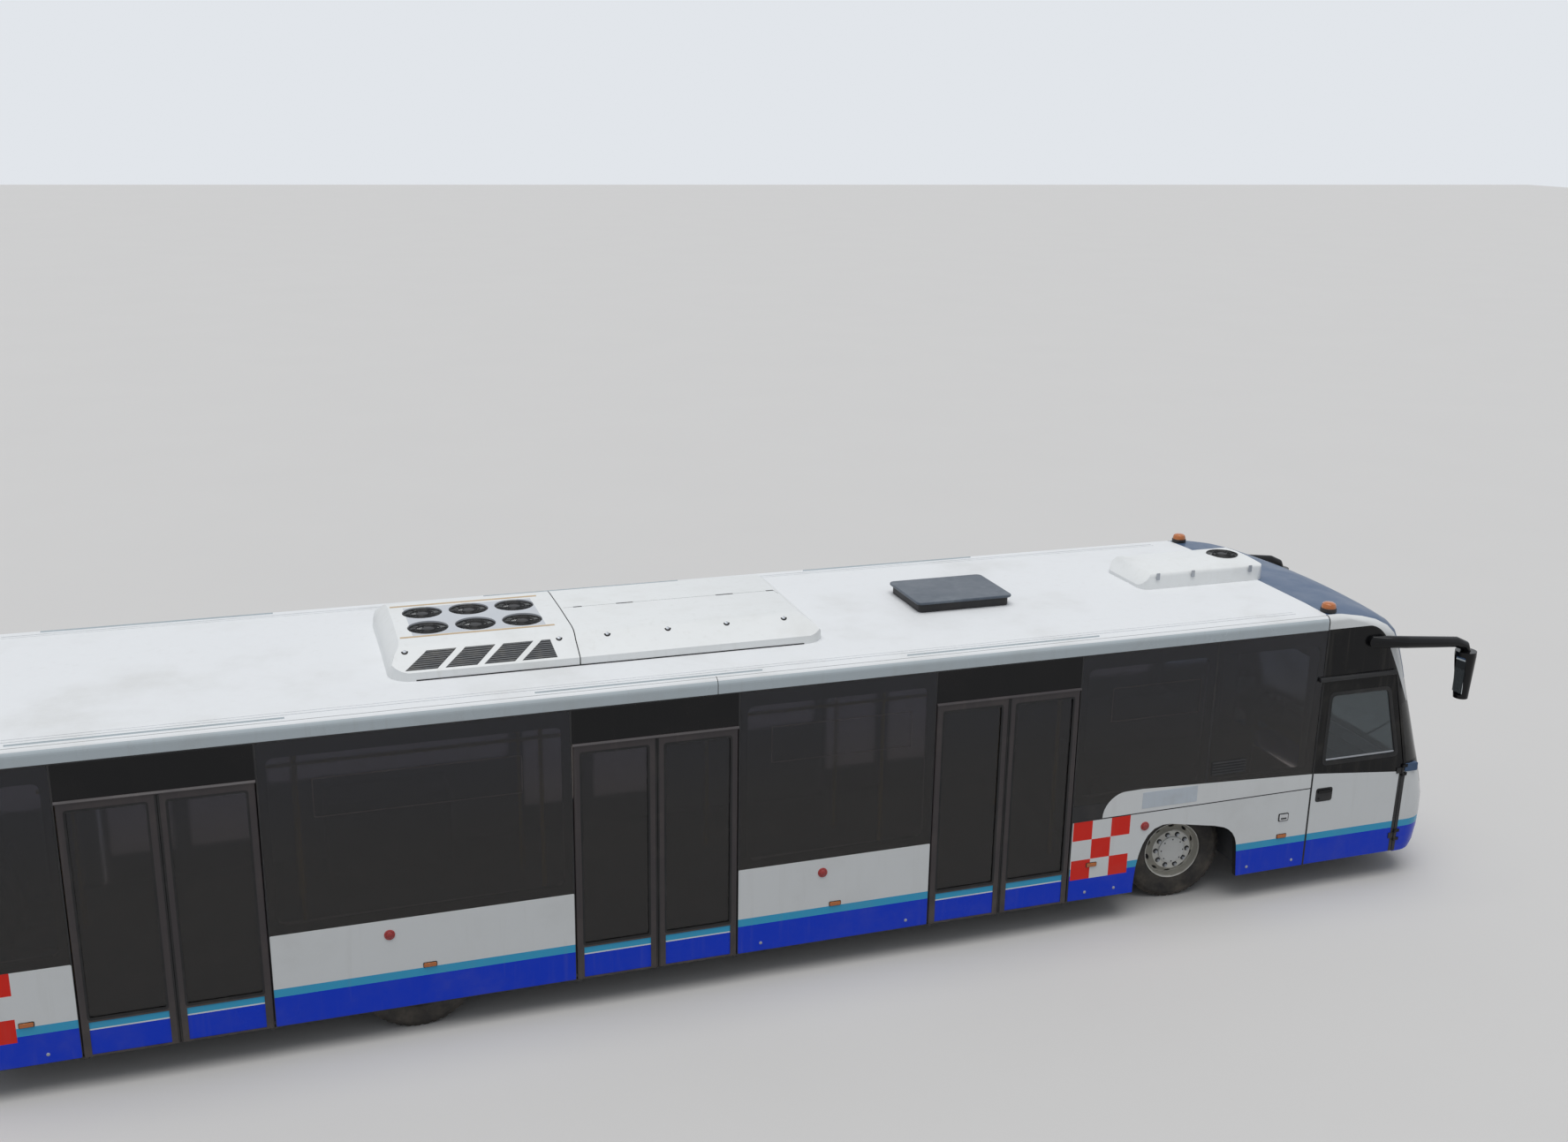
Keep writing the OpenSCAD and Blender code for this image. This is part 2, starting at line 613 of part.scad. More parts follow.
// Half the width of the unit's top
unit_flat = 600;
module unit_bar(x0, x1) {
    w = unit_w / 2;
    half = concat([[w, roof_at(w) + seat], [w, roof_at(w) + 25]],
        [for (q = [[w - 6, 60], [unit_flat + 90, unit_h - 75], [unit_flat + 50, unit_h - 38],
            [unit_flat, unit_h - 16], [unit_flat - 80, unit_h - 6]]) [q[0], roof_top + q[1]]]);
    long_bar(x0, x1, concat([[0, roof_top + seat]], half, [[0, unit_top]],
        [for (k = [len(half) - 1:-1:0]) [-half[k][0], half[k][1]]]));
}
module unit_plan(x0, x1, r0, r1) {
    w = unit_w / 2;
    translate([0, 0, roof_z - 50]) linear_extrude(600) polygon(concat(
        arc(x0 + r0, -w + r0, r0, 180, 270, 6), arc(x1 - r1, -w + r1, r1, 270, 360, 6),
        arc(x1 - r1, w - r1, r1, 0, 90, 6), arc(x0 + r0, w - r0, r0, 90, 180, 6)));
}
// Side view of the unit's rounded ends
module unit_side(x0, x1, lean0, lean1) {
    step = unit_h / 4;
    rear = [for (k = [0:4]) [x0 + lean0 * pow(k / 4, 1.8), roof_top + k * step + (k == 4 ? 5 : 0)]];
    front = [for (k = [4:-1:0]) [x1 - lean1 * pow(k / 4, 1.8), roof_top + k * step + (k == 4 ? 5 : 0)]];
    translate([0, unit_w / 2 + 10, 0]) rotate([90, 0, 0]) linear_extrude(unit_w + 20)
        polygon(concat([[x0, roof_z - 60]], rear, front, [[x1, roof_z - 60]]));
}
fan_pitch = [415, 440];
fan_rows = 2;
fan_cols = 3;
function fan_at(i, j) = [unit_rear_x + 405 + i * fan_pitch[0], (j - 0.5) * fan_pitch[1]];
well_depth = 45;
cab_unit_x = seam_x - 1385;
cab_unit_len = 1465;
cab_unit_w = 740;
cab_unit_h = 190;
cab_unit_y = 90;
cab_fan_r = 165;
cab_fan = [cab_unit_x + 1200, cab_unit_y + 40];
module cab_unit() {
    w = cab_unit_w / 2;
    top = roof_top + cab_unit_h;
    under = [for (y = [-w, -cab_unit_y, w]) [y, roof_at(cab_unit_y + y) + seat]];
    difference() {
        intersection() {
            translate([0, cab_unit_y, 0]) long_bar(cab_unit_x, cab_unit_x + cab_unit_len,
                concat(under, arc(w - 70, top - 85, 60, 15, 80, 4), [[0, top]],
                    arc(-w + 70, top - 85, 60, 100, 165, 4)));
            translate([cab_unit_x, cab_unit_y, roof_z - 50]) linear_extrude(500)
                polygon(round_box(0, -w, cab_unit_len, w, 110));
            translate([0, cab_unit_y + w + 10, 0]) rotate([90, 0, 0]) linear_extrude(cab_unit_w + 20)
                polygon([[cab_unit_x, roof_z - 60], [cab_unit_x + cab_unit_len, roof_z - 60],
                    [cab_unit_x + cab_unit_len, roof_z + 130], [cab_unit_x + cab_unit_len - 45, top - 8],
                    [cab_unit_x + cab_unit_len - 120, top + 5], [cab_unit_x + 260, top + 5],
                    [cab_unit_x + 110, top - 35], [cab_unit_x, roof_z + 60]]);
        }
        translate([cab_fan[0], cab_fan[1], top - well_depth]) cylinder(h = 100, r = cab_fan_r);
    }
}
module ac_unit() color([0.92, 0.92, 0.9]) {
    seam = unit_rear_x + fan_section;
    difference() {
        intersection() {
            unit_bar(unit_rear_x, seam);
            unit_plan(unit_rear_x, seam, 210, 5);
            unit_side(unit_rear_x, seam, 130, 0);
        }
        for (i = [0:fan_cols - 1], j = [0:fan_rows - 1])
            translate([fan_at(i, j)[0], fan_at(i, j)[1], unit_top - well_depth - 10]) cylinder(h = 200, r = fan_r);
    }
    intersection() {
        unit_bar(seam + unit_seam, unit_front_x);
        unit_plan(seam + unit_seam, unit_front_x, 5, 210);
        unit_side(seam + unit_seam, unit_front_x, 0, 240);
    }
    cab_unit();
}
// A guard of two rings and six bars round the motor
module fan_guard(r, x, y, z) {
    translate([x, y, z]) {
        for (ring = [r, 0.64 * r]) difference() {
            cylinder(h = 8, r = ring);
            translate([0, 0, -1]) cylinder(h = 10, r = ring - 12);
        }
        for (a = [0:2]) rotate([0, 0, a * 60]) translate([-r + 5, -5, 2]) cube([2 * r - 10, 10, 4]);
        translate([0, 0, -26]) cylinder(h = 36, r = 0.3 * r);
    }
}
module ac_fan_guards() color([0.08, 0.08, 0.08]) {
    for (i = [0:fan_cols - 1], j = [0:fan_rows - 1])
        fan_guard(fan_r - seat, fan_at(i, j)[0], fan_at(i, j)[1], unit_top - 24);
    fan_guard(cab_fan_r - seat, cab_fan[0], cab_fan[1], roof_top + cab_unit_h - 14);
}

hatch_x = axle_x - 2066;
hatch_z = roof_top + seat;
hatch_lid = 26;
hatch_base = 82;
module roof_hatch() color([0.2, 0.24, 0.3]) {
    translate([hatch_x, 0, hatch_z + hatch_base]) linear_extrude(hatch_lid) rounded(hatch_len, hatch_w, 60);
    translate([hatch_x, 0, hatch_z]) linear_extrude(hatch_base) difference() {
        rounded(hatch_len - 60, hatch_w - 60, 40);
        rounded(hatch_len - 110, hatch_w - 110, 30);
    }
}

// Lamps: beacons on the roof, head and tail lamps
beacon_x = seam_x + 75;
beacon_y = 1350;
beacon_r = 78;
beacon_z = roof_at(beacon_y - beacon_r) + seat;
module lamps() color([0.95, 0.55, 0.15]) {
    both() {
        translate([beacon_x, beacon_y, beacon_z]) cylinder(h = 35, r = beacon_r);
        translate([beacon_x, beacon_y, beacon_z + 35]) cylinder(h = 60, r1 = beacon_r - 4, r2 = beacon_r - 10);
        for (z = [640, 780]) bar_x(1330, z, 55, tail_x - tail_lamp, tail_x);
    }
}

// Mirrors on long arms: columns of the path are x from the head's top, y from the mirror's middle, height and radius
mirror_y = half_w + mirror_side - 105;
mirror_path = [[-775, 12, 2648, 62], [-150, 0, 2588, 54], [-30, 0, 2540, 48], [0, 0, 2470, 48]];
mirror_low_z = 1975;
mirror_tilt = 10;
mirror_low_r = 72;
mirror_top_r = 105;
mirror_x = nose_x + mirror_reach - mirror_top_r;
mirror_root = [mirror_x - 1115, 2665];
mirror_glass_x = mirror_x - 40;
mirror_glass_t = 6;
module mirror_head(r0, r1, z0, z1) {
    hull() {
        translate([mirror_x, mirror_y, z1]) cylinder(h = 50, r = r1, $fn = 32);
        translate([mirror_x + mirror_tilt, mirror_y, z0]) cylinder(h = 40, r = r0, $fn = 32);
    }
}
module mirrors() color([0.07, 0.07, 0.08]) both() {
    hull() {
        translate([mirror_root[0], half_w, mirror_root[1]]) rotate([-90, 0, 0]) cylinder(h = 36, r = 58, $fn = 20);
        translate([mirror_x + mirror_path[0][0], mirror_y + mirror_path[0][1], mirror_path[0][2]])
            sphere(r = mirror_path[0][3], $fn = 20);
    }
    for (k = [0:2]) hull() for (p = [mirror_path[k], mirror_path[k + 1]])
        translate([mirror_x + p[0], mirror_y + p[1], p[2]]) sphere(r = p[3], $fn = 20);
    difference() {
        mirror_head(mirror_low_r, mirror_top_r, mirror_low_z, 2430);
        block(mirror_glass_x - 85, mirror_glass_x, mirror_y - 80, mirror_y + 80, mirror_low_z + 40, 2430);
    }
}
module mirror_glasses() color([0.7, 0.75, 0.8]) both() {
    x = mirror_glass_x - seat;
    block(x - mirror_glass_t, x, mirror_y - 66, mirror_y + 66, mirror_low_z + 60, 2415);
}

// Cab and saloon fittings
module dashboard() color([0.14, 0.14, 0.15]) {
    side_plate(-1250, 1250, [[nose_x - 700, 900], [nose_x - 520, 900], [nose_x - 320, 980],
        [nose_x - 320, 1020], [nose_x - 500, 1130], [nose_x - 700, 1060]]);
    block(nose_x - 660, nose_x - 530, -1100, -1000, floor_z, 901);
    block(nose_x - 660, nose_x - 530, 1000, 1100, floor_z, 901);
    translate([nose_x - 760, 560, 1120]) rotate([0, -60, 0]) {
        rotate_extrude($fn = 48) translate([225, 0]) circle(r = 16, $fn = 16);
        translate([0, 0, -140]) cylinder(h = 150, r = 40);
        for (a = [0, 120, 240]) rotate([0, 0, a]) block(0, 225, -18, 18, -8, 8);
    }
}
module seat_shape(w) {
    side_plate(-w / 2, w / 2, [[0, 420], [420, 440], [440, 480], [420, 520], [60, 500], [-60, 1050],
        [-120, 1050], [-60, 440]]);
}
module seats() color([0.25, 0.3, 0.4]) {
    translate([nose_x - 1300, 560, 60]) {
        seat_shape(480);
        block(60, 300, -120, 120, floor_z - 60, 425);
    }
    for (y = [-1150, -690, -230, 230, 690, 1150]) translate([tail_x + 330, y, 0]) {
        seat_shape(440);
        block(60, 240, -100, 100, floor_z, 425);
    }
}
module cab_partition() color([0.45, 0.46, 0.48]) {
    x = seam_x - 60;
    difference() {
        block(x, x + 30, -inner_w + 5, inner_w - 5, floor_z, 2700);
        block(x - 1, x + 31, 150, inner_w - 120, 1250, 2500);
        block(x - 1, x + 31, -inner_w + 120, -150, 1250, 2500);
    }
}
// Poles: distance behind the front axle
pole_back = [1100, 3000, 4400, 6300, 8400, 10300];
pole_y = 620;
pole_r = 19;
grab_r = 17;
grab_z = 2250;
module handrails() color([0.85, 0.75, 0.2]) {
    inner_top = roof_at(pole_y + pole_r) - roof_t - 1;
    both() {
        for (back = pole_back) {
            translate([axle_x - back, pole_y, floor_z]) cylinder(h = grab_z - grab_r - seat - floor_z, r = pole_r);
            translate([axle_x - back, pole_y, grab_z + grab_r + seat])
                cylinder(h = inner_top - grab_z - grab_r - seat, r = pole_r);
        }
        bar_x(pole_y, grab_z, grab_r, axle_x - pole_back[5] - 100, axle_x - pole_back[0] + 100);
    }
}
module engine() color([0.25, 0.26, 0.27]) {
    block(axle_x - 420, axle_x + 900, -340, 340, 700, 1360);
    for (x = [axle_x - 300, axle_x + 700]) both() block(x, x + 90, 339, rail_y - seat, 700, 750);
}

chassis();
floor_deck();  // floor
side_wall("right");  // side_wall_right
side_wall("left");  // side_wall_left
roof();
front_mask();
rear_wall();
windscreen();
windows();
front_visor();
ac_unit();
ac_fan_guards();
roof_hatch();
lamps();
mirrors();
mirror_glasses();
cab_door("right");  // cab_door_right
cab_door("left");  // cab_door_left
dashboard();
seats();
cab_partition();
handrails();
engine();
engine_cover();
front_axle();
knuckle("right");  // knuckle_right
knuckle("left");  // knuckle_left
tie_rod();
rear_axle();
for (axle = ["front", "rear"], side = SIDES) {
    wheel(axle, side);
    tyre(axle, side);
}
for (i = [0:2], side = SIDES, end = ENDS)
    door_leaf(i, side, end);
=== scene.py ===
import json
import math

import bmesh
import bpy
import numpy as np
from mathutils import Matrix, Vector

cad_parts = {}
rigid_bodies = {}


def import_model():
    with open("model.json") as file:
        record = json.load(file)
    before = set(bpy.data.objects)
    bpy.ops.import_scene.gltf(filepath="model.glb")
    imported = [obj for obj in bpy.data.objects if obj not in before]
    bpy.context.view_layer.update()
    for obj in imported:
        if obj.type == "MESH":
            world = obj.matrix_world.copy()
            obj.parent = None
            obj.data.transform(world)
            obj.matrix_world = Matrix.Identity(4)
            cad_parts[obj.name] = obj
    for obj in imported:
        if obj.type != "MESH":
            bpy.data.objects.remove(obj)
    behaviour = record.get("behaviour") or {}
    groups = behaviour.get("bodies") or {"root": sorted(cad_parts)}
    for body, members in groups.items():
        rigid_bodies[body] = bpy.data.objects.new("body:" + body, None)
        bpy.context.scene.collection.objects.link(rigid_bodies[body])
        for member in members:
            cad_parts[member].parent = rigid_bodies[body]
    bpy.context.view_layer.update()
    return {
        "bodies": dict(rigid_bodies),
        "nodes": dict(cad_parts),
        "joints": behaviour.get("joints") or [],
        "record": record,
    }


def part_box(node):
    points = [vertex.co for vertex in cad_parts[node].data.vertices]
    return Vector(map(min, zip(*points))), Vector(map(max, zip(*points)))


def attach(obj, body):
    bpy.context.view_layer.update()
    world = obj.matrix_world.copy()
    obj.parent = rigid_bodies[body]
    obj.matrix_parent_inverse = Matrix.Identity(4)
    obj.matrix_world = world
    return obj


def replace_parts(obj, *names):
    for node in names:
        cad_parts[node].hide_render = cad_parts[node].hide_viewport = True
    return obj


# Airport passenger bus. Metres; the front points along +x, the left side is +y, the ground is z = 0.
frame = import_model()
print("stage: frame loaded")

nodes = frame["nodes"]
scene = bpy.context.scene
scene.view_settings.view_transform = "Standard"
sides = {"right": -1, "left": 1}
halfWidth, doorHalf, waistZ, railZ = 1.5, 0.735, 1.13, 2.827
tailX, noseX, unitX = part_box("rear_wall")[0].x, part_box("front_mask")[1].x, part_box("ac_unit")[0].x
seamX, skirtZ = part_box("side_wall_right")[1].x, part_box("side_wall_right")[0].z + 0.015
frontAxle = 0.25 * sum(corner.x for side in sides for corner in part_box(f"tyre_front_{side}"))
doorMiddles = [0.5 * (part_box(f"door_{i}_right_rear_leaf")[0].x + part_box(f"door_{i}_right_front_leaf")[1].x)
               for i in (1, 2, 3)]
rearDoor, middleDoor, frontDoor = sorted(doorMiddles)


# Shapes: a shape is a pair, the points as an array and the faces as lists of point numbers

def prism(outline, low, high, axis="y"):
    # the outline at two places along the axis, with a wall between
    n = len(outline)
    both = np.tile(np.asarray(outline, float), (2, 1))
    points = np.insert(both, "xyz".index(axis), np.repeat([low, high], n), axis=1)
    k = np.arange(n)
    j = (k + 1) % n
    return points, [k.tolist(), (k + n)[::-1].tolist()] + np.stack([k, j, j + n, k + n], 1).tolist()


def plate(outline, low, high):
    # an outline in (x, z) on the left wall, from low to high outside its plane
    return prism(outline, halfWidth + low, halfWidth + high)


def gridFaces(rows, columns, wrapRows=False, wrapColumns=False):
    # four neighbouring points of a grid make a face; a wrapped direction closes on itself
    r = np.arange(rows if wrapRows else rows - 1)[:, None]
    c = np.arange(columns if wrapColumns else columns - 1)[None, :]
    r2, c2 = (r + 1) % rows, (c + 1) % columns
    return np.stack([r * columns + c, r * columns + c2, r2 * columns + c2, r2 * columns + c], -1).reshape(-1, 4)


def sheetShape(points, offset):
    # a grid of points and its copy moved by the offset, closed round the rim
    rows, columns = points.shape[:2]
    count = rows * columns
    index = np.arange(count).reshape(rows, columns)
    rim = np.concatenate([index[0], index[1:, -1], index[-1, -2::-1], index[-2:0:-1, 0]])
    after = np.roll(rim, -1)
    faces = gridFaces(rows, columns)
    faces = np.vstack([faces, faces[:, ::-1] + count, np.stack([rim, after, after + count, rim + count], 1)])
    return np.vstack([points.reshape(-1, 3), (points + np.asarray(offset)).reshape(-1, 3)]), faces.tolist()


def lathe(profile, centre, axis="y", parts=64, closed=True):
    # each point of the profile is a radius and a distance along the axis, carried round a full circle
    radius, along = np.asarray(profile, float).T
    turn = np.linspace(0, 2 * math.pi, parts, endpoint=False)[:, None]
    rows = [radius * np.cos(turn), radius * np.sin(turn)]
    rows.insert("xyz".index(axis), np.broadcast_to(along, rows[0].shape))
    points = np.stack(rows, -1) + np.asarray(centre, float)
    return points.reshape(-1, 3), gridFaces(parts, len(radius), True, closed).tolist()


def tube(path, radius, parts=12):
    # a circle carried along the path, square to it, with a flat cap at each end; radius may change along the way
    n = len(path)
    radius = np.broadcast_to(np.asarray(radius, float), n)
    along = np.gradient(path, axis=0)
    along /= np.linalg.norm(along, axis=1)[:, None]
    helper = [0.0, 0.0, 1.0] if abs(along[:, 2]).max() < 0.9 else [0.31, 0.95, 0.02]
    side = np.cross(along, helper)
    side /= np.linalg.norm(side, axis=1)[:, None]
    up = np.cross(side, along)
    turn = np.linspace(0, 2 * math.pi, parts, endpoint=False)[None, :, None]
    ring = np.cos(turn) * side[:, None] + np.sin(turn) * up[:, None]
    points = path[:, None] + ring * radius[:, None, None]
    ends = [list(range(parts)), list(range((n - 1) * parts, n * parts))[::-1]]
    return points.reshape(-1, 3), gridFaces(n, parts, False, True).tolist() + ends


def merge(shapes):
    points, faces, base = [], [], 0
    for p, f in shapes:
        points.append(p)
        faces += [[i + base for i in face] for face in f]
        base += len(p)
    return np.vstack(points), faces


def forSide(shape, side):
    # shapes are drawn for the left side and mirrored for the right one
    return (shape[0] * [1, -1, 1], [f[::-1] for f in shape[1]]) if side < 0 else shape


def moved(shape, offset):
    return shape[0] + np.asarray(offset, float), shape[1]


def turned(shape, angle, axis, centre=(0, 0, 0)):
    return (shape[0] - centre) @ np.array(Matrix.Rotation(angle, 3, axis)).T + centre, shape[1]


def roundBox(x0, z0, x1, z1, r, n=4):
    # a rectangle with rounded corners, as points in order
    corners = ((x0 + r, z0 + r, 180), (x1 - r, z0 + r, 270), (x1 - r, z1 - r, 0), (x0 + r, z1 - r, 90))
    x, z, start = np.array(corners)[:, :, None].transpose(1, 0, 2)
    t = np.radians(start + np.linspace(0, 90, n + 1))
    return np.stack([x + r * np.cos(t), z + r * np.sin(t)], -1).reshape(-1, 2)


def unit(vectors):
    return vectors / np.linalg.norm(vectors, axis=1)[:, None]


def softened(points, r, n=5):
    # a closed outline whose corners are curves that start and end r from each corner
    p = np.asarray(points, float)
    t = np.linspace(0, 1, n)[None, :, None]
    a, b = ((p + r * unit(np.roll(p, k, 0) - p))[:, None] for k in (1, -1))
    return ((1 - t) ** 2 * a + 2 * t * (1 - t) * p[:, None] + t ** 2 * b).reshape(-1, 2)


def grown(points, d):
    # a convex outline, drawn anticlockwise, with each side moved outwards by d
    p = np.asarray(points, float)
    out = unit(np.roll(p, -1, 0) - p)[:, ::-1] * [1, -1]
    before = np.roll(out, 1, 0)
    return p + d * (out + before) / (1 + (out * before).sum(1))[:, None]


def band(outer, inner, y0, y1):
    # a closed ring between two outlines of as many points, from y0 to y1
    n = len(outer)
    k = np.arange(n)
    j = (k + 1) % n
    points = np.concatenate([np.insert(o, 1, y, axis=1) for y in (y0, y1) for o in (outer, inner)])
    quads = [np.stack(q, 1) for q in ((k, j, j + n, k + n), (k + 2 * n, k + 3 * n, j + 3 * n, j + 2 * n),
                                      (k, k + 2 * n, j + 2 * n, j), (k + n, j + n, j + 3 * n, k + 3 * n))]
    return points, np.vstack(quads).tolist()


# Pieces

def cleaned(mesh, near, solid=True):
    # points nearer than this become one; a solid's faces are turned outwards
    work = bmesh.new()
    work.from_mesh(mesh)
    bmesh.ops.remove_doubles(work, verts=work.verts, dist=near)
    if solid:
        bmesh.ops.recalc_face_normals(work, faces=work.faces)
    else:
        bmesh.ops.dissolve_degenerate(work, edges=work.edges, dist=1e-6)
    work.to_mesh(mesh)
    work.free()
    return mesh


def meshOf(name, shape, near=1e-6):
    mesh = bpy.data.meshes.new(name)
    mesh.from_pydata(shape[0].tolist(), [], shape[1])
    return cleaned(mesh, near)


def objectOf(name, mesh):
    piece = bpy.data.objects.new(name, mesh)
    scene.collection.objects.link(piece)
    return piece


def evaluated(piece):
    return bpy.data.meshes.new_from_object(piece.evaluated_get(bpy.context.evaluated_depsgraph_get()))


def shapeOf(mesh):
    points = np.zeros(len(mesh.vertices) * 3)
    mesh.vertices.foreach_get("co", points)
    return points.reshape(-1, 3), [list(p.vertices) for p in mesh.polygons]


def faceValues(mesh, kind):
    out = np.zeros(len(mesh.polygons) * 3, np.float32)
    mesh.polygons.foreach_get(kind, out)
    return out.reshape(-1, 3)


def coat(mesh, finish, paint=None):
    # finish names one or more finishes; paint gives each face its number from its middle and normal
    mesh.materials.clear()
    for label in finish.split():
        mesh.materials.append(finishes[label])
    if paint:
        numbers = paint(faceValues(mesh, "center"), faceValues(mesh, "normal"))
        mesh.polygons.foreach_set("material_index", numbers.astype(np.int32))


def smoothed(mesh, sharp):
    mesh.polygons.foreach_set("use_smooth", np.ones(len(mesh.polygons), bool))
    mesh.set_sharp_from_angle(angle=math.radians(sharp))


def addPiece(name, shape, finish, bevel, body="body", sharp=35, segments=2, paint=None):
    # a new piece of the scene, made of one shape or of a list of shapes
    mesh = meshOf(name, merge(shape) if isinstance(shape, list) else shape)
    coat(mesh, finish, paint)
    smoothed(mesh, sharp)
    piece = objectOf(name, mesh)
    if bevel:
        edge = piece.modifiers.new("roundedEdges", "BEVEL")
        edge.width, edge.segments, edge.limit_method = bevel, segments, "ANGLE"
        edge.angle_limit, edge.harden_normals = math.radians(40), True
    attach(piece, body)
    return piece


def bothSides(label, shape, finish, bevel=0.0, slot="side_wall", body="body"):
    # braces in the body's name stand for the side
    shape = merge(shape) if isinstance(shape, list) else shape
    for name, side in sides.items():
        addPiece(f"{label}_{name}", forSide(shape, side), finish, bevel, body.format(name))


def smoothCopy(node, name, finish, sharp):
    # the CAD node's own surface with its seams merged, so that its rounded faces shade smoothly
    mesh = cleaned(nodes[node].data.copy(), 2e-5, False)
    mesh.name = name
    if "custom_normal" in mesh.attributes:
        mesh.attributes.remove(mesh.attributes["custom_normal"])
    coat(mesh, finish)
    smoothed(mesh, sharp)
    piece = objectOf(name, mesh)
    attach(piece, "body")
    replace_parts(piece, node)


def dress(node, finish, paint=None):
    # a CAD node keeps its mesh and gets materials
    mesh = nodes[node].data
    mesh.polygons.foreach_set("material_index", np.zeros(len(mesh.polygons), np.int32))
    coat(mesh, finish, paint)


# Shader groups, each built once and placed in the materials with its own values

def colour(r, g, b):
    # screen values of 0 to 255 as the linear colour that Blender takes
    c = np.array([r, g, b]) / 255
    return (*np.where(c <= 0.04045, c / 12.92, ((c + 0.055) / 1.055) ** 2.4).tolist(), 1.0)


class Wires:
    # a short way to add nodes and join their sockets in one tree
    def __init__(self, tree):
        self.tree = tree

    def add(self, kind, **settings):
        node = self.tree.nodes.new("ShaderNode" + kind)
        for key, value in settings.items():
            setattr(node, key, value)
        return node

    def put(self, values, sockets):
        # each socket takes another socket's output or a plain value
        for value, socket in zip(values, sockets):
            if isinstance(value, bpy.types.NodeSocket):
                self.tree.links.new(value, socket)
            elif value is not None:
                socket.default_value = value

    def maths(self, operation, a, b=None, clamp=False):
        node = self.add("Math", operation=operation, use_clamp=clamp)
        self.put((a, b), node.inputs)
        return node.outputs[0]

    def product(self, first, *others):
        for value in others:
            first = self.maths("MULTIPLY", first, value)
        return first

    def above(self, value, level):
        return self.maths("GREATER_THAN", value, level)

    def inside(self, value, low, high):
        return self.product(self.above(value, low), self.maths("LESS_THAN", value, high))

    def axes(self, vector):
        node = self.add("SeparateXYZ")
        self.put([vector], node.inputs)
        return list(node.outputs)

    def mix(self, factor, a, b):
        node = self.add("Mix", data_type="RGBA")
        self.put((factor, a, b), (node.inputs[0], node.inputs[6], node.inputs[7]))
        return node.outputs[2]

    def mapped(self, value, *edges, kind="LINEAR"):
        node = self.add("MapRange", clamp=True, interpolation_type=kind)
        self.put((value, *edges), node.inputs)
        return node.outputs[0]

    def between(self, value, low, high):
        return self.mapped(value, low, high, kind="SMOOTHSTEP")

    def noise(self, vector, scale, detail, rough):
        node = self.add("TexNoise")
        self.put((vector, scale, detail, rough), [node.inputs[k] for k in ("Vector", "Scale", "Detail", "Roughness")])
        return node.outputs["Fac"]


def shaderGroup(name, inputs, outputs=("Color",)):
    # an input is a number, or the word Color or Vector for its kind; an output is a colour when it is named Color
    tree = bpy.data.node_groups.new(name, "ShaderNodeTree")
    for label, value in inputs.items():
        kind = value if isinstance(value, str) else "Float"
        socket = tree.interface.new_socket(label, in_out="INPUT", socket_type="NodeSocket" + kind)
        if kind == "Float":
            socket.default_value = value
    for label in outputs:
        kind = "Color" if label == "Color" else "Float"
        tree.interface.new_socket(label, in_out="OUTPUT", socket_type="NodeSocket" + kind)
    return Wires(tree), tree.nodes.new("NodeGroupInput").outputs, tree.nodes.new("NodeGroupOutput").inputs


def makeStainGroup():
    # patches and vertical runs of dirt over a paint colour
    w, given, out = shaderGroup("weatherStains", {"Vector": "Vector", "Paint": "Color", "Dirt": "Color",
                                                  "Patch Scale": 1.2, "Patches": 0.3, "Runs": 0.2})
    patch = w.noise(given["Vector"], given["Patch Scale"], 7.0, 0.62)
    stretch = w.add("VectorMath", operation="MULTIPLY")
    w.put((given["Vector"], (9.0, 9.0, 0.55)), stretch.inputs)
    runs = w.noise(stretch.outputs[0], 1.6, 5.0, 0.6)
    mask = w.maths("MAXIMUM", w.product(w.between(patch, 0.46, 0.78), given["Patches"]),
                   w.product(w.between(runs, 0.5, 0.85), given["Runs"]), True)
    w.put([w.mix(mask, given["Paint"], given["Dirt"])], out)
    return w.tree


def makeDustGroup():
    # road dust that grows towards the ground
    w, given, out = shaderGroup("roadDust", {"Vector": "Vector", "Paint": "Color", "Dust": "Color", "Top": 0.7,
                                             "Amount": 0.4})
    rise = w.maths("DIVIDE", w.axes(given["Vector"])[2], given["Top"])
    low = w.maths("SUBTRACT", 1.0, rise, True)
    cloud = w.noise(given["Vector"], 5.0, 6.0, 0.65)
    mask = w.maths("MULTIPLY", w.product(low, w.between(cloud, 0.25, 0.75)), given["Amount"], True)
    w.put([w.mix(mask, given["Paint"], given["Dust"])], out)
    return w.tree


def makeGrainGroup():
    # a fine grain for bump and for the spread of roughness
    w, given, out = shaderGroup("surfaceGrain", {"Vector": "Vector", "Scale": 200.0, "Rough Low": 0.3,
                                                 "Rough High": 0.5}, ("Height", "Roughness"))
    wide = w.noise(given["Vector"], 3.1, 6.0, 0.6)
    w.put((w.noise(given["Vector"], given["Scale"], 3.0, 0.5),
           w.mapped(wide, 0.3, 0.7, given["Rough Low"], given["Rough High"])), out)
    return w.tree


def makeStripeGroup():
    # the livery by height: blue skirt, cyan line and the panel colour above, with an optional thin white line
    w, given, out = shaderGroup("stripePaint", {
        "Vector": "Vector", "Panel": "Color", "Blue": "Color", "Cyan": "Color", "Line": "Color", "Blue Top": 0.568,
        "Line Height": 0.0, "Cyan Top": 0.642})
    z = w.axes(given["Vector"])[2]
    lineTop = w.maths("ADD", given["Blue Top"], given["Line Height"])
    field = given["Panel"]
    for top, below in ((given["Cyan Top"], "Cyan"), (lineTop, "Line"), (given["Blue Top"], "Blue")):
        field = w.mix(w.above(z, top), given[below], field)
    w.put([field], out)
    return w.tree


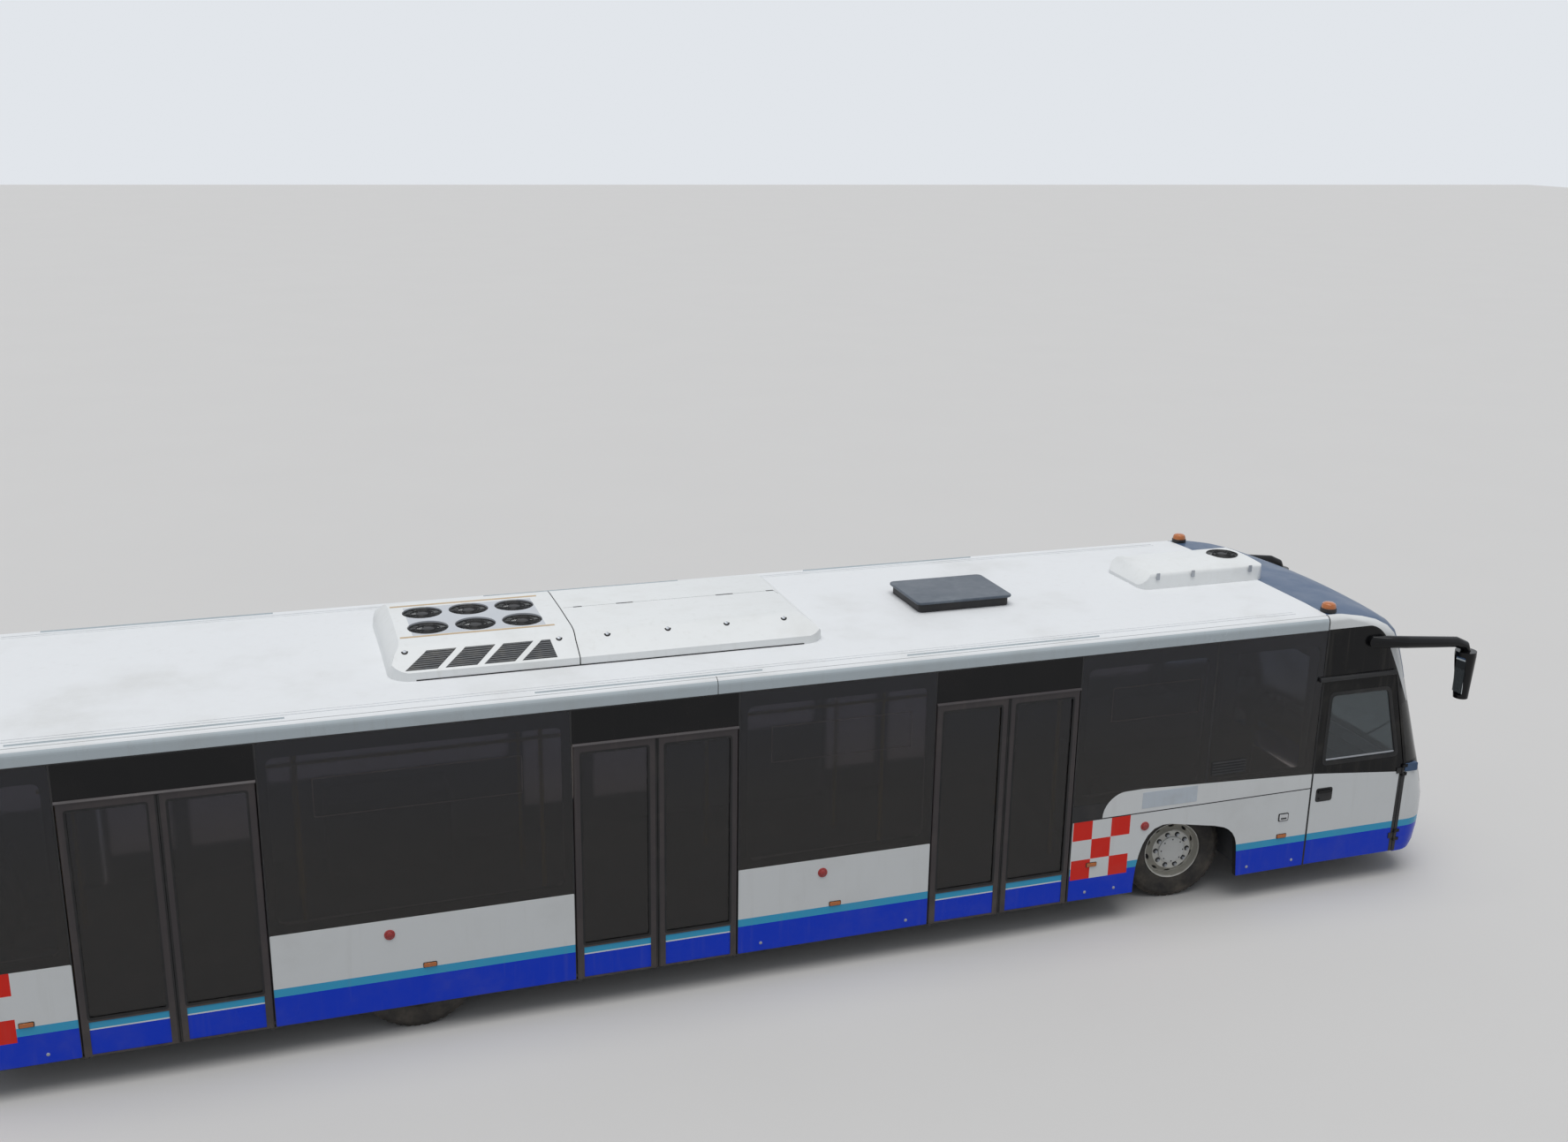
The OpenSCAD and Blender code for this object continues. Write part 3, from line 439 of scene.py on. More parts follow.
def makeChequerGroup():
    # three by three squares, red at the corners and in the middle, laid over another colour
    w, given, out = shaderGroup("chequerField", {
        "Vector": "Vector", "Under": "Color", "Red": "Color", "White": "Color", "Start X": 0.0, "Start Z": 0.52,
        "Square": 0.207})
    x, _, z = w.axes(given["Vector"])
    steps = [w.maths("DIVIDE", w.maths("SUBTRACT", axis, given[start]), given["Square"])
             for axis, start in ((x, "Start X"), (z, "Start Z"))]
    odd = w.maths("PINGPONG", w.maths("ADD", *(w.maths("FLOOR", step) for step in steps)), 1.0)
    square = w.mix(odd, given["Red"], given["White"])
    within = w.product(*(w.inside(step, 0.0, 3.0) for step in steps))
    w.put([w.mix(within, given["Under"], square)], out)
    return w.tree


groups = {"stain": makeStainGroup(), "dust": makeDustGroup(), "grain": makeGrainGroup(),
          "stripe": makeStripeGroup(), "chequer": makeChequerGroup()}
paints = {"white": colour(222, 224, 224), "blue": colour(4, 58, 208), "cyan": colour(62, 166, 208),
          "red": colour(226, 42, 30), "black": colour(16, 16, 18), "line": colour(226, 230, 232),
          "dust": colour(132, 122, 108)}


# Liveries: a base colour that depends on the place on the bus

def stripes(place, panel="white", **heights):
    return place("stripe", Panel=paints[panel], Blue=paints["blue"], Cyan=paints["cyan"], Line=paints["line"],
                 **heights)["Color"]


def plainLivery(w, axes, place):
    return stripes(place)


def leafLivery(w, axes, place):
    return stripes(place, "cyan", Blue_Top=0.532, Line_Height=0.012, Cyan_Top=0.7)


def bodyLivery(w, axes, place):
    field = stripes(place)
    for start in (frontAxle - 1.356, tailX - 0.06):
        field = place("chequer", Under=field, Red=paints["red"], White=paints["white"], Start_X=start)["Color"]
    return field


def doorLivery(w, axes, place):
    # white below a line that falls a little towards the front, black above it
    fall = w.product(w.maths("SUBTRACT", axes[0], seamX), 0.1)
    return w.mix(w.above(w.maths("ADD", axes[2], fall), 1.303), stripes(place), paints["black"])


def glassLivery(w, axes, place):
    # tinted panes: warmer at the waist, bluish towards the top
    return w.mix(w.between(axes[2], 1.5, 2.7), colour(122, 116, 113), colour(102, 104, 122))


def edgeLines(*base):
    # the roof's colours with the dark seal along its edge and the joints across the rail
    def livery(w, axes, place):
        across = w.maths("ABSOLUTE", axes[1])
        seal = w.product(w.inside(across, 1.448, 1.456), 0.6)
        field = w.mix(seal, colour(*base), colour(96, 98, 100))
        for x, half in ((-0.852, 0.0035), (seamX - 0.004, 0.009)):
            joint = w.product(w.inside(axes[0], x - half, x + half), w.above(across, 1.43))
            field = w.mix(joint, field, colour(38, 38, 40))
        return field
    return livery


def maskLivery(w, axes, place):
    # stripes and white below, black round the door and over it, with a white pillar strip left in front
    x, y, z = axes
    m, out = w.maths, w.maths("ABSOLUTE", y)
    radius, edge, top = 0.15, noseX - 0.5945, 2.832
    slope = m("ADD", x, w.product(m("SUBTRACT", z, 1.95), 0.531))
    across = m("MAXIMUM", m("SUBTRACT", slope, edge - radius), 0.0)
    over = m("MAXIMUM", m("SUBTRACT", z, top - radius), 0.0)
    far = m("SQRT", m("ADD", w.product(across, across), w.product(over, over)))
    upper = w.product(m("LESS_THAN", far, radius), w.above(z, 1.95))
    black = w.product(m("MAXIMUM", upper, w.inside(z, 1.195, 1.951)), w.above(out, 1.30))
    return w.mix(m("MAXIMUM", w.above(out, 1.5005), black), stripes(place), paints["black"])


def screenLivery(w, axes, place):
    # clear in the middle, black round the edges
    middle = w.product(w.maths("LESS_THAN", w.maths("ABSOLUTE", axes[1]), 1.34), w.inside(axes[2], 1.10, 2.10))
    return w.mix(middle, colour(14, 14, 15), colour(120, 126, 126))


def unitLivery(w, axes, place):
    # a silver plate under the fans, the hinged lid's seam and its dark clips
    onTop = w.above(axes[2], 3.20)
    field = colour(230, 232, 232)
    areas = [(0.2515, 1.4115, -0.42, 0.39, (196, 200, 206)), (1.6515, 3.7815, -0.003, 0.003, (104, 106, 108))]
    areas += [(x0, x1, -0.014, 0.014, (34, 34, 36))
              for x0, x1 in ((1.7415, 1.8215), (2.1415, 2.3015), (3.1015, 3.2715), (3.6015, 3.7715))]
    for x0, x1, y0, y1, shade in areas:
        area = w.product(w.inside(axes[0], unitX + x0, unitX + x1), w.inside(axes[1], y0, y1), onTop)
        field = w.mix(area, field, colour(*shade))
    return field


plainDirt, roofDirt = (150, 144, 132), (178, 176, 168)


def material(name, base, rough, grain, stain, dust=None, dirt=plainDirt, more=None):
    # base is a colour or a livery
    m = bpy.data.materials.new(name)
    m.use_nodes = True
    w = Wires(m.node_tree)
    shader = m.node_tree.nodes["Principled BSDF"].inputs
    for key, value in (more or {}).items():
        shader[key].default_value = value
    vector = w.add("TexCoord").outputs["Object"]

    def place(group, **values):
        node = w.add("Group", node_tree=groups[group])
        for key, value in {"Vector": vector, **values}.items():
            w.put([value], [node.inputs[key.replace("_", " ")]])
        return node.outputs

    current = base(w, w.axes(vector), place) if callable(base) else colour(*base)
    patches, runs, scale = stain
    current = place("stain", Paint=current, Dirt=colour(*dirt), Patch_Scale=scale, Patches=patches, Runs=runs)["Color"]
    if dust:
        current = place("dust", Paint=current, Dust=paints["dust"], Amount=dust[0], Top=dust[1])["Color"]
    surface = place("grain", Scale=grain[0], Rough_Low=rough[0], Rough_High=rough[1])
    bump = w.add("Bump")
    w.put((grain[1], 0.002, surface["Height"]), [bump.inputs[k] for k in ("Strength", "Distance", "Height")])
    w.put((current, surface["Roughness"], bump.outputs["Normal"]),
          [shader[k] for k in ("Base Color", "Roughness", "Normal")])
    return m


# Finishes: base, roughness from and to, grain (scale, bump), stain (patches, runs, scale), dust (amount, top), dirt

gloss = {"Coat Weight": 0.05, "Specular IOR Level": 0.18, "Coat Roughness": 0.08}
metal = {"Metallic": 1.0}
clear = {"Transmission Weight": 0.97, "Specular IOR Level": 0.28, "IOR": 1.45}
finishTable = {
    "bodyPaint": (bodyLivery, (0.16, 0.28), (500, 0.01), (0.12, 0.1, 1.4), (0.07, 0.75), plainDirt, gloss),
    "stripePaint": (plainLivery, (0.16, 0.28), (500, 0.01), (0.12, 0.1, 1.4), (0.07, 0.75), plainDirt, gloss),
    "leafPaint": (leafLivery, (0.16, 0.3), (500, 0.01), (0.1, 0.08, 1.4), (0.07, 0.7), plainDirt,
                  {**gloss, "Coat Roughness": 0.1}),
    "cabDoorPaint": (doorLivery, (0.14, 0.26), (500, 0.01), (0.1, 0.08, 1.4), (0.07, 0.75), plainDirt, gloss),
    "maskPaint": (maskLivery, (0.14, 0.26), (500, 0.01), (0.12, 0.1, 1.4), (0.3, 0.75), plainDirt, gloss),
    "whitePaint": ((222, 224, 224), (0.16, 0.28), (500, 0.01), (0.12, 0.14, 1.6), None, plainDirt,
                   {"Coat Weight": 0.5, "Coat Roughness": 0.08}),
    "railPaint": (edgeLines(184, 194, 199), (0.18, 0.3), (400, 0.01), (0.2, 0.18, 1.8), None, plainDirt,
                  {"Coat Weight": 0.3, "Coat Roughness": 0.1}),
    "roofPaint": (edgeLines(229, 231, 233), (0.5, 0.7), (160, 0.05), (0.34, 0.1, 0.7), None, roofDirt),
    "unitPlastic": (unitLivery, (0.38, 0.55), (260, 0.05), (0.22, 0.22, 2.2), None, (190, 188, 180)),
    "blackPaint": ((16, 16, 18), (0.12, 0.28), (400, 0.01), (0.25, 0.15, 1.5), (0.25, 0.7), (44, 40, 40),
                   {"Specular IOR Level": 0.25}),
    "blackTrim": ((24, 24, 26), (0.45, 0.65), (260, 0.12), (0.3, 0.2, 3.0), (0.2, 0.7), (78, 72, 68)),
    "leafFrame": ((50, 44, 46), (0.32, 0.5), (300, 0.04), (0.35, 0.3, 2.0), (0.3, 0.9), (92, 82, 76)),
    "rubber": ((18, 18, 19), (0.6, 0.8), (220, 0.2), (0.3, 0.2, 4.0), (0.2, 0.6), (70, 66, 62)),
    "darkSteel": ((44, 44, 46), (0.5, 0.75), (120, 0.3), (0.5, 0.2, 5.0), (0.6, 1.0), (92, 70, 52), {"Metallic": 0.3}),
    "engineIron": ((60, 62, 64), (0.45, 0.7), (140, 0.3), (0.4, 0.2, 6.0), None, (60, 48, 38), {"Metallic": 0.5}),
    "hatchPlastic": ((70, 80, 92), (0.28, 0.45), (260, 0.06), (0.5, 0.2, 3.0), None, (138, 146, 152)),
    "visorPaint": ((70, 92, 122), (0.3, 0.45), (400, 0.01), (0.25, 0.12, 1.6), None, (112, 124, 138),
                   {"Specular IOR Level": 0.25}),
    "wheelPaint": ((224, 222, 214), (0.4, 0.6), (200, 0.1), (0.3, 0.2, 7.0), (0.12, 1.0), (118, 106, 90)),
    # painted shade: a darker copy of wheelPaint for the rim's hollow between flange and nuts
    "wheelShade": ((182, 179, 169), (0.45, 0.65), (200, 0.1), (0.4, 0.2, 7.0), (0.12, 1.0), (92, 84, 72)),
    "tyreRubber": ((30, 29, 30), (0.62, 0.85), (180, 0.3), (0.5, 0.1, 5.0), (0.4, 1.1), (74, 68, 62)),
    "chrome": ((200, 202, 205), (0.1, 0.25), (300, 0.03), (0.2, 0.1, 8.0), None, plainDirt, metal),
    "silver": ((168, 172, 178), (0.35, 0.55), (200, 0.1), (0.4, 0.2, 6.0), None, plainDirt, {"Metallic": 0.7}),
    "mirrorSilver": ((206, 212, 216), (0.02, 0.06), (300, 0.0), (0.1, 0.1, 5.0), None, plainDirt, metal),
    "beige": ((196, 172, 140), (0.5, 0.7), (260, 0.08), (0.3, 0.2, 6.0)),
    "amberLens": ((214, 120, 46), (0.1, 0.22), (300, 0.05), (0.2, 0.1, 9.0), None, (120, 70, 40),
                  {"Transmission Weight": 0.25, "Coat Weight": 0.5}),
    "redLens": ((176, 26, 24), (0.1, 0.22), (300, 0.05), (0.2, 0.1, 9.0), None, (90, 20, 18),
                {"Transmission Weight": 0.2, "Coat Weight": 0.5}),
    "clearLens": ((214, 220, 224), (0.05, 0.12), (300, 0.02), (0.1, 0.1, 6.0), None, plainDirt,
                  {"Transmission Weight": 0.6, "Coat Weight": 0.5}),
    "floorVinyl": ((84, 86, 90), (0.5, 0.7), (90, 0.2), (0.3, 0.0, 2.0)),
    "innerPanel": ((150, 150, 146), (0.45, 0.65), (240, 0.1), (0.2, 0.1, 2.0)),
    "dashPlastic": ((36, 37, 40), (0.5, 0.7), (400, 0.25), (0.2, 0.1, 4.0)),
    "seatShell": ((60, 64, 72), (0.45, 0.6), (300, 0.1), (0.2, 0.1, 4.0)),
    "railYellow": ((222, 184, 44), (0.25, 0.4), (300, 0.05), (0.2, 0.1, 4.0)),
    "plateBlank": ((196, 204, 212), (0.3, 0.45), (300, 0.03), (0.2, 0.3, 5.0)),
    "grilleDark": ((30, 31, 34), (0.5, 0.7), (260, 0.1), (0.3, 0.2, 5.0)),
    "grilleSlat": ((92, 95, 98), (0.4, 0.55), (260, 0.08), (0.3, 0.2, 5.0)),
    "capPaint": ((228, 228, 224), (0.3, 0.45), (260, 0.05), (0.15, 0.1, 6.0), (0.06, 1.0)),
    "seatFabric": ((52, 66, 98), (0.75, 0.92), (900, 0.5), (0.25, 0.05, 7.0), None, (40, 48, 66),
                   {"Sheen Weight": 0.35}),
    "glass": (glassLivery, (0.08, 0.09), (200, 0.0), (0.06, 0.1, 2.0), None, (110, 104, 98), clear),
    "cabGlass": ((150, 160, 166), (0.0, 0.02), (200, 0.0), (0.06, 0.1, 2.0), None, (96, 90, 84),
                 {"Transmission Weight": 0.92, "Specular IOR Level": 0.5, "IOR": 1.45}),
    "frontScreen": (screenLivery, (0.02, 0.05), (200, 0.0), (0.05, 0.08, 2.0), None, (96, 90, 84),
                    {"Transmission Weight": 0.9, "Specular IOR Level": 0.4, "IOR": 1.45}),
}
finishes = {name: material(name, *row) for name, row in finishTable.items()}
print("stage: finishes made")


# Camera, light and stage

view = {"place": (-4.5408, -13.818, 7.6947), "yaw": 19.106, "pitch": 16.304, "roll": 0.965, "lens": 36.68}
light = {"power": 1.72, "angle": 50, "tilt": (9, -6, 0), "world": (0.40, 0.42, 0.45, 1), "seen": (0.76, 0.79, 0.83, 1)}
ground = {"half": 140, "plain": (0.30, 0.30, 0.30, 1), "seen": (0.62, 0.61, 0.60, 1), "speckle": (226, 225, 222)}


def makeCamera():
    yaw, pitch, roll = (math.radians(view[k]) for k in ("yaw", "pitch", "roll"))
    forward = np.array([math.sin(yaw) * math.cos(pitch), math.cos(yaw) * math.cos(pitch), -math.sin(pitch)])
    level = np.array([math.cos(yaw), -math.sin(yaw), 0])
    upright = np.cross(level, forward)
    right = level * math.cos(roll) + upright * math.sin(roll)
    up = upright * math.cos(roll) - level * math.sin(roll)
    data = bpy.data.cameras.new("photoCamera")
    data.lens, data.sensor_width, data.clip_end = view["lens"], 36, 400
    camera = objectOf("photoCamera", data)
    turn = np.eye(4)
    turn[:3] = np.column_stack([right, up, -forward, view["place"]])
    camera.matrix_world = Matrix(turn.tolist())
    scene.camera = camera


def backdropColour(tree, plain, seen):
    # the object gets the plain colour's light; camera, glossy and transmission rays meet the pale one
    w = Wires(tree)
    rays = w.add("LightPath").outputs
    direct = w.maths("MAXIMUM", w.maths("MAXIMUM", rays["Is Camera Ray"], rays["Is Glossy Ray"]),
                     rays["Is Transmission Ray"])
    return w, w.mix(direct, plain, seen)


def makeStage():
    scene.world = bpy.data.worlds.new("studio")
    scene.world.use_nodes = True
    background = scene.world.node_tree.nodes["Background"].inputs
    w, shade = backdropColour(scene.world.node_tree, light["world"], light["seen"])
    w.put((shade, 1.0), (background["Color"], background["Strength"]))

    lamp = bpy.data.lights.new("softSky", "SUN")
    lamp.energy, lamp.angle, lamp.color = light["power"], math.radians(light["angle"]), (1.0, 0.99, 0.97)
    objectOf("softSky", lamp).rotation_euler = [math.radians(a) for a in light["tilt"]]

    reach = ground["half"]
    mesh = bpy.data.meshes.new("studioFloor")
    corners = [(-reach, -reach, 0), (reach, -reach, 0), (reach, reach, 0), (-reach, reach, 0)]
    mesh.from_pydata(corners, [], [[0, 1, 2, 3]])
    m = bpy.data.materials.new("paleFloor")
    m.use_nodes = True
    w, pale = backdropColour(m.node_tree, ground["plain"], ground["seen"])
    speckle = w.product(w.noise(w.add("TexCoord").outputs["Object"], 0.35, 6.0, 0.6), 0.16)
    shader = m.node_tree.nodes["Principled BSDF"].inputs
    w.put((w.mix(speckle, pale, colour(*ground["speckle"])), 0.85), (shader["Base Color"], shader["Roughness"]))
    mesh.materials.append(m)
    objectOf("studioFloor", mesh)


makeCamera()
makeStage()
print("stage: camera and stage made")


# CAD nodes that keep their mesh; across is a distance from the middle of the bus

dressSet = {"wallInside": 1.46, "railAcross": 1.44, "railTop": 2.945, "ceiling": 1.43, "cabInside": 1.479,
            "cabOutside": 1.5005, "rearInside": 0.055, "leafEdge": 0.055, "pane": (0.326, 0.058), "paneAcross": 1.492,
            "paneThick": 0.0075, "panel": (0.012, 0.31), "panelDepth": (0.003, 0.009)}


def wallPaint(centres, normals):
    # black outside, trim inside the saloon
    return (np.abs(centres[:, 1]) < dressSet["wallInside"]) & (normals[:, 1] * np.sign(centres[:, 1]) < 0.5)


def roofPaint(centres, normals):
    # the rounded rail below the roof's edge is glossy; the ceiling is trim
    across = np.abs(centres[:, 1])
    rail = (centres[:, 2] < dressSet["railTop"]) & (across > dressSet["railAcross"])
    return np.where((normals[:, 2] < -0.3) & (across < dressSet["ceiling"]), 2, rail)


def cabDoorPaint(centres, normals):
    across = np.abs(centres[:, 1])
    return (across < dressSet["cabInside"]) + 2 * (across > dressSet["cabOutside"])


def leafPaint(low, high):
    # the glass and the painted panel inside a leaf's frame
    s, side = dressSet, 1 if low.y > 0 else -1
    outer = high.y if side > 0 else low.y
    (paneLow, paneHigh), (panelLow, panelHigh), (shallow, deep) = s["pane"], s["panel"], s["panelDepth"]

    def paint(centres, normals):
        x, y, z = centres.T
        inFrame = np.minimum(x - low.x, high.x - x) > s["leafEdge"]
        pane = inFrame & (z > low.z + paneLow) & (z < high.z - paneHigh)
        pane &= np.abs(y - side * s["paneAcross"]) < s["paneThick"]
        panel = inFrame & (z > low.z + panelLow) & (z < low.z + panelHigh) & (normals[:, 1] * side > 0.5)
        panel &= (np.abs(y - outer) > shallow) & (np.abs(y - outer) < deep)
        return np.where(pane, 1, 2 * panel)
    return paint


leaves = [(i, side, end) for side in sides for i in (1, 2, 3) for end in ("front", "rear")]
plainFinishes = {"windows": "glass", "chassis": "darkSteel", "front_axle": "darkSteel", "rear_axle": "darkSteel",
                 "tie_rod": "darkSteel", "knuckle_right": "darkSteel", "knuckle_left": "darkSteel",
                 "engine": "engineIron", "engine_cover": "dashPlastic", "cab_partition": "innerPanel",
                 "dashboard": "dashPlastic", "handrails": "railYellow", "mirror_glasses": "mirrorSilver",
                 "seats": "seatShell", "ac_fan_guards": "blackTrim"}
smoothNodes = (("front_mask", "nose_mask", "maskPaint", 26), ("windscreen", "nose_windscreen", "frontScreen", 26),
               ("front_visor", "nose_visor", "visorPaint", 26), ("ac_unit", "roof_units", "unitPlastic", 38),
               ("mirrors", "mirror_arms", "blackPaint", 50))

for node, finish in plainFinishes.items():
    dress(node, finish)
for i, side, end in leaves:
    leaf = f"door_{i}_{side}_{end}_leaf"
    dress(leaf, "leafFrame glass leafPaint", leafPaint(*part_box(leaf)))
for side in sides:
    dress(f"side_wall_{side}", "blackTrim innerPanel", wallPaint)
    dress(f"cab_door_{side}", "cabDoorPaint dashPlastic blackTrim", cabDoorPaint)
dress("roof", "roofPaint railPaint innerPanel", roofPaint)
dress("rear_wall", "stripePaint innerPanel", lambda c, n: c[:, 0] > tailX + dressSet["rearInside"])
dress("floor", "floorVinyl darkSteel", lambda c, n: n[:, 2] < -0.5)
print("stage: CAD nodes dressed")


# Painted side panels, a thin skin of separate panels over the walls

panelSet = {"skin": 0.0028, "gap": 0.006, "bevel": 0.0012, "ends": (0.012, 0.008, 0.008), "tail": 0.004, "arch": 0.016,
            "step": 0.012, "beltTop": 1.303, "beltLine": [[4.346, 1.352], [3.436, 1.392]],
            "beltEnd": (3.246, 0.235, 1.376)}
archLine = np.array([[-596, 292], [-592, 420], [-580, 560], [-554, 693], [-520, 795], [-470, 884], [-400, 948],
                     [-310, 978], [-221, 978], [34, 931], [292, 884], [400, 853], [458, 822], [507, 776],
                     [540, 722], [560, 660], [568, 604], [594, 292]]) / 1000 + [frontAxle - 0.056, 0]


def makeSidePanels():
    g, top, bevel = panelSet["gap"], waistZ, panelSet["bevel"]
    step, starts = panelSet["step"], (tailX + panelSet["tail"], rearDoor + doorHalf + g, middleDoor + doorHalf + g)
    lower = [roundBox(x, skirtZ, door - doorHalf - g, top, r, 2)
             for x, door, r in zip(starts, (rearDoor, middleDoor, frontDoor), panelSet["ends"])]
    rear, front = frontDoor + doorHalf + panelSet["arch"], seamX - g
    lower.append(np.vstack([[[rear, skirtZ]], archLine, [[front, skirtZ], [front, top + step], [rear, top]]]))
    # the belt panel's rear end rises in a quarter turn
    t = np.linspace(0, math.pi / 2, 10)[::-1]
    x, reach, z = panelSet["beltEnd"]
    curve = np.stack([x - reach * np.cos(t) ** 1.15, top + step + (z - top) * np.sin(t)], 1)
    upper = np.vstack([[[front, top + 0.022], [front, panelSet["beltTop"]]], panelSet["beltLine"], curve])
    seam = [[rear, top - 0.001], [front, top + step - 0.001], [front, top + 0.023], [rear, top + 0.013]]
    bothSides("skirt_panels", [plate(o, 0.0002, panelSet["skin"]) for o in lower], "bodyPaint", bevel)
    bothSides("belt_panel", plate(upper, 0.0006, 0.0036), "whitePaint", bevel)
    bothSides("belt_seam", plate(seam, -0.001, 0.0026), "blackTrim")


# Black panels over the doorways, hopper frames on the panes, and the louvre

headSet = {"low": 2.512, "skin": 0.004, "bevel": 0.0015, "hoodZ": 2.496,
           "hood": [[-0.002, 0], [0.022, -0.004], [0.024, 0.004], [0.010, 0.020], [-0.002, 0.022]]}
hopperSet = {"low": 2.13, "high": 2.47, "line": 0.006, "radius": 0.012,
             "spans": [(rearDoor + doorHalf + 0.42, middleDoor - doorHalf - 0.42),
                       (middleDoor + doorHalf + 0.30, frontDoor - doorHalf - 0.24),
                       (frontAxle - 1.036, frontAxle - 0.076)]}
louvreSet = {"x": 4.186, "z": 1.432, "length": 0.40, "height": 0.145, "slats": 5,
             "slat": [[0.0015, 0.000], [0.010, -0.009], [0.0125, -0.007], [0.0035, 0.006]]}


def makeWallTrim():
    s = headSet
    ends = [(x - doorHalf, x + doorHalf) for x in doorMiddles]
    panels = [plate(roundBox(a + 0.004, s["low"], b - 0.004, railZ - 0.012, 0.006, 2), 0.0002, s["skin"])
              for a, b in ends]
    hoods = merge([prism(s["hood"], a + 0.002, b - 0.002, "x") for a, b in ends])
    bothSides("door_headers", panels, "blackPaint", s["bevel"])
    bothSides("door_hoods", moved(hoods, (0, halfWidth, s["hoodZ"])), "leafFrame", 0.0015)

    s = hopperSet
    frames = [[roundBox(a + d, s["low"] + d, b - d, s["high"] - d, s["radius"]) for d in (0, s["line"])]
              for a, b in s["spans"]]
    bothSides("hopper_frames", [band(*f, halfWidth + 0.0001, halfWidth + 0.0012) for f in frames], "leafFrame")

    s = louvreSet
    x, z, end, pitch = s["x"], s["z"], s["x"] + s["length"], s["height"] / s["slats"]
    slats = [moved(prism(s["slat"], x + 0.012, end - 0.012, "x"), (0, halfWidth, z + (k + 0.62) * pitch))
             for k in range(s["slats"])]
    back = plate(roundBox(x, z, end, z + s["height"], 0.008, 2), 0.0002, 0.002)
    bothSides("wall_louvre", [back] + slats, "blackTrim", 0.0006)


# Small fittings on the side walls: marker lamps, door buttons, screws, the flap's latch and the blank plate

fittings = {"markers": [5.096, 2.926, 0.273, -3.380, -6.498], "markerZ": 0.664,
            "markerLens": (0.0525, 0.018, 0.008, 0, 0.012), "markerBase": (0.0585, 0.024, 0.01, -0.0005, 0.004),
            "buttons": [3.491, 0.145, -3.699], "buttonZ": 0.993,
            "screws": [2.876, 3.196, 4.719, 5.252, 0.988, -0.439, -6.370], "screwZ": 0.375,
            "latch": (5.097, 0.871), "plate": (3.7475, 1.268),
            "cap": [[0, 0.017], [0.015, 0.0165], [0.026, 0.013], [0.030, 0.008], [0.030, 0.0], [0, 0.0]],
            "ring": [[0.030, 0.0], [0.030, 0.009], [0.034, 0.011], [0.044, 0.008], [0.046, 0.0]],
            "dot": [[0, 0.0045], [0.010, 0.004], [0.014, 0.002], [0.015, 0.0], [0, 0.0]]}


def makeFittings():
    f, skin = fittings, panelSet["skin"]

    def block(x, z, halfX, halfZ, r, low, high, n=4):
        # a rounded block round a point of the wall, from low to high outside the skin
        return plate(roundBox(x - halfX, z - halfZ, x + halfX, z + halfZ, r, n), skin + low, skin + high)

    def rows(profile, kind, parts, closed=False):
        return [lathe(f[profile], (x, halfWidth + skin, f[kind + "Z"]), "y", parts, closed) for x in f[kind + "s"]]

    lenses, bases = ([block(x, f["markerZ"], *f[k], 3) for x in f["markers"]] for k in ("markerLens", "markerBase"))
    x, z = f["latch"]
    bothSides("side_markers", lenses, "amberLens", 0.003, "lamps")
    bothSides("side_marker_bases", bases, "blackTrim", 0.001, "lamps")
    bothSides("door_buttons", rows("cap", "button", 28), "redLens")
    bothSides("door_button_rings", rows("ring", "button", 28, True), "redLens")
    bothSides("skirt_screws", rows("dot", "screw", 16), "silver")
    bothSides("flap_pocket", [block(x, z, 0.060, 0.043, 0.014, -0.0004, 0.004),
                              block(x, z - 0.012, 0.034, 0.008, 0.006, 0.009, 0.012)], "blackTrim", 0.001)
    bothSides("flap_latch", block(x, z, 0.050, 0.034, 0.012, 0.002, 0.010), "chrome", 0.003)
    bothSides("fleet_plate_blank", block(*f["plate"], 0.3065, 0.084, 0.006, 0.0008, 0.003, 2), "plateBlank", 0.0008)


makeSidePanels()
makeWallTrim()
makeFittings()
print("stage: side walls made")

for row in smoothNodes:
    smoothCopy(*row)
print("stage: nose made")


# The nose's face as a function, for what sits on it

noseHeights = [0.292, 0.36, 0.52, 0.70, 0.86, 1.0, 1.24, 1.46, 1.76, 2.06, 2.33, 2.56, 2.70]
noseDepths = [0.075, 0.040, 0.012, 0.0, 0.006, 0.038, 0.105, 0.180, 0.275, 0.375, 0.455, 0.535, 0.600]


def noseFace(y, z):
    # depth by height, and a wide arc across that turns round the corner with a tight one
    across = np.abs(y)
    wide = 6 - np.sqrt(36 - across ** 2)
    tight = 0.4441 - np.sqrt(np.maximum(0.32 ** 2 - (across - 1.18) ** 2, 0))
    return noseX - np.interp(z, noseHeights, noseDepths) - np.where(across < 1.2465, wide, tight)


def frontSheet(low, high, lift, thickness=0.004, rows=24):
    # a sheet on the nose between two lines of (y, z) points of the same count
    t = np.linspace(0, 1, rows)[:, None, None]
    flat = np.asarray(low, float) * (1 - t) + np.asarray(high, float) * t
    x = noseFace(flat[..., 0], flat[..., 1]) + lift
    return sheetShape(np.concatenate([x[..., None], flat], -1), (-thickness, 0, 0))


def levelSheet(y0, y1, z0, z1, lift, thickness, points=2, rows=24):
    low, high = (np.stack([np.linspace(y0, y1, points), np.full(points, z)], 1) for z in (z0, z1))
    return frontSheet(low, high, lift, thickness, rows)


def ovalSheet(y, z, ry, rz, lift):
    # a sheet with a rounded outline on the nose, from its lower half to its upper half
    t = np.linspace(0.001, math.pi - 0.001, 40)
    across, rise = y + ry * np.sign(np.cos(t)) * np.abs(np.cos(t)) ** 0.6, rz * np.sin(t) ** 0.6
    return frontSheet(np.stack([across, z - rise], 1), np.stack([across, z + rise], 1), lift)


# Cab doors: glass, its rubber, the handle, the seals in front, and on the body the rain rail and the corner lamp

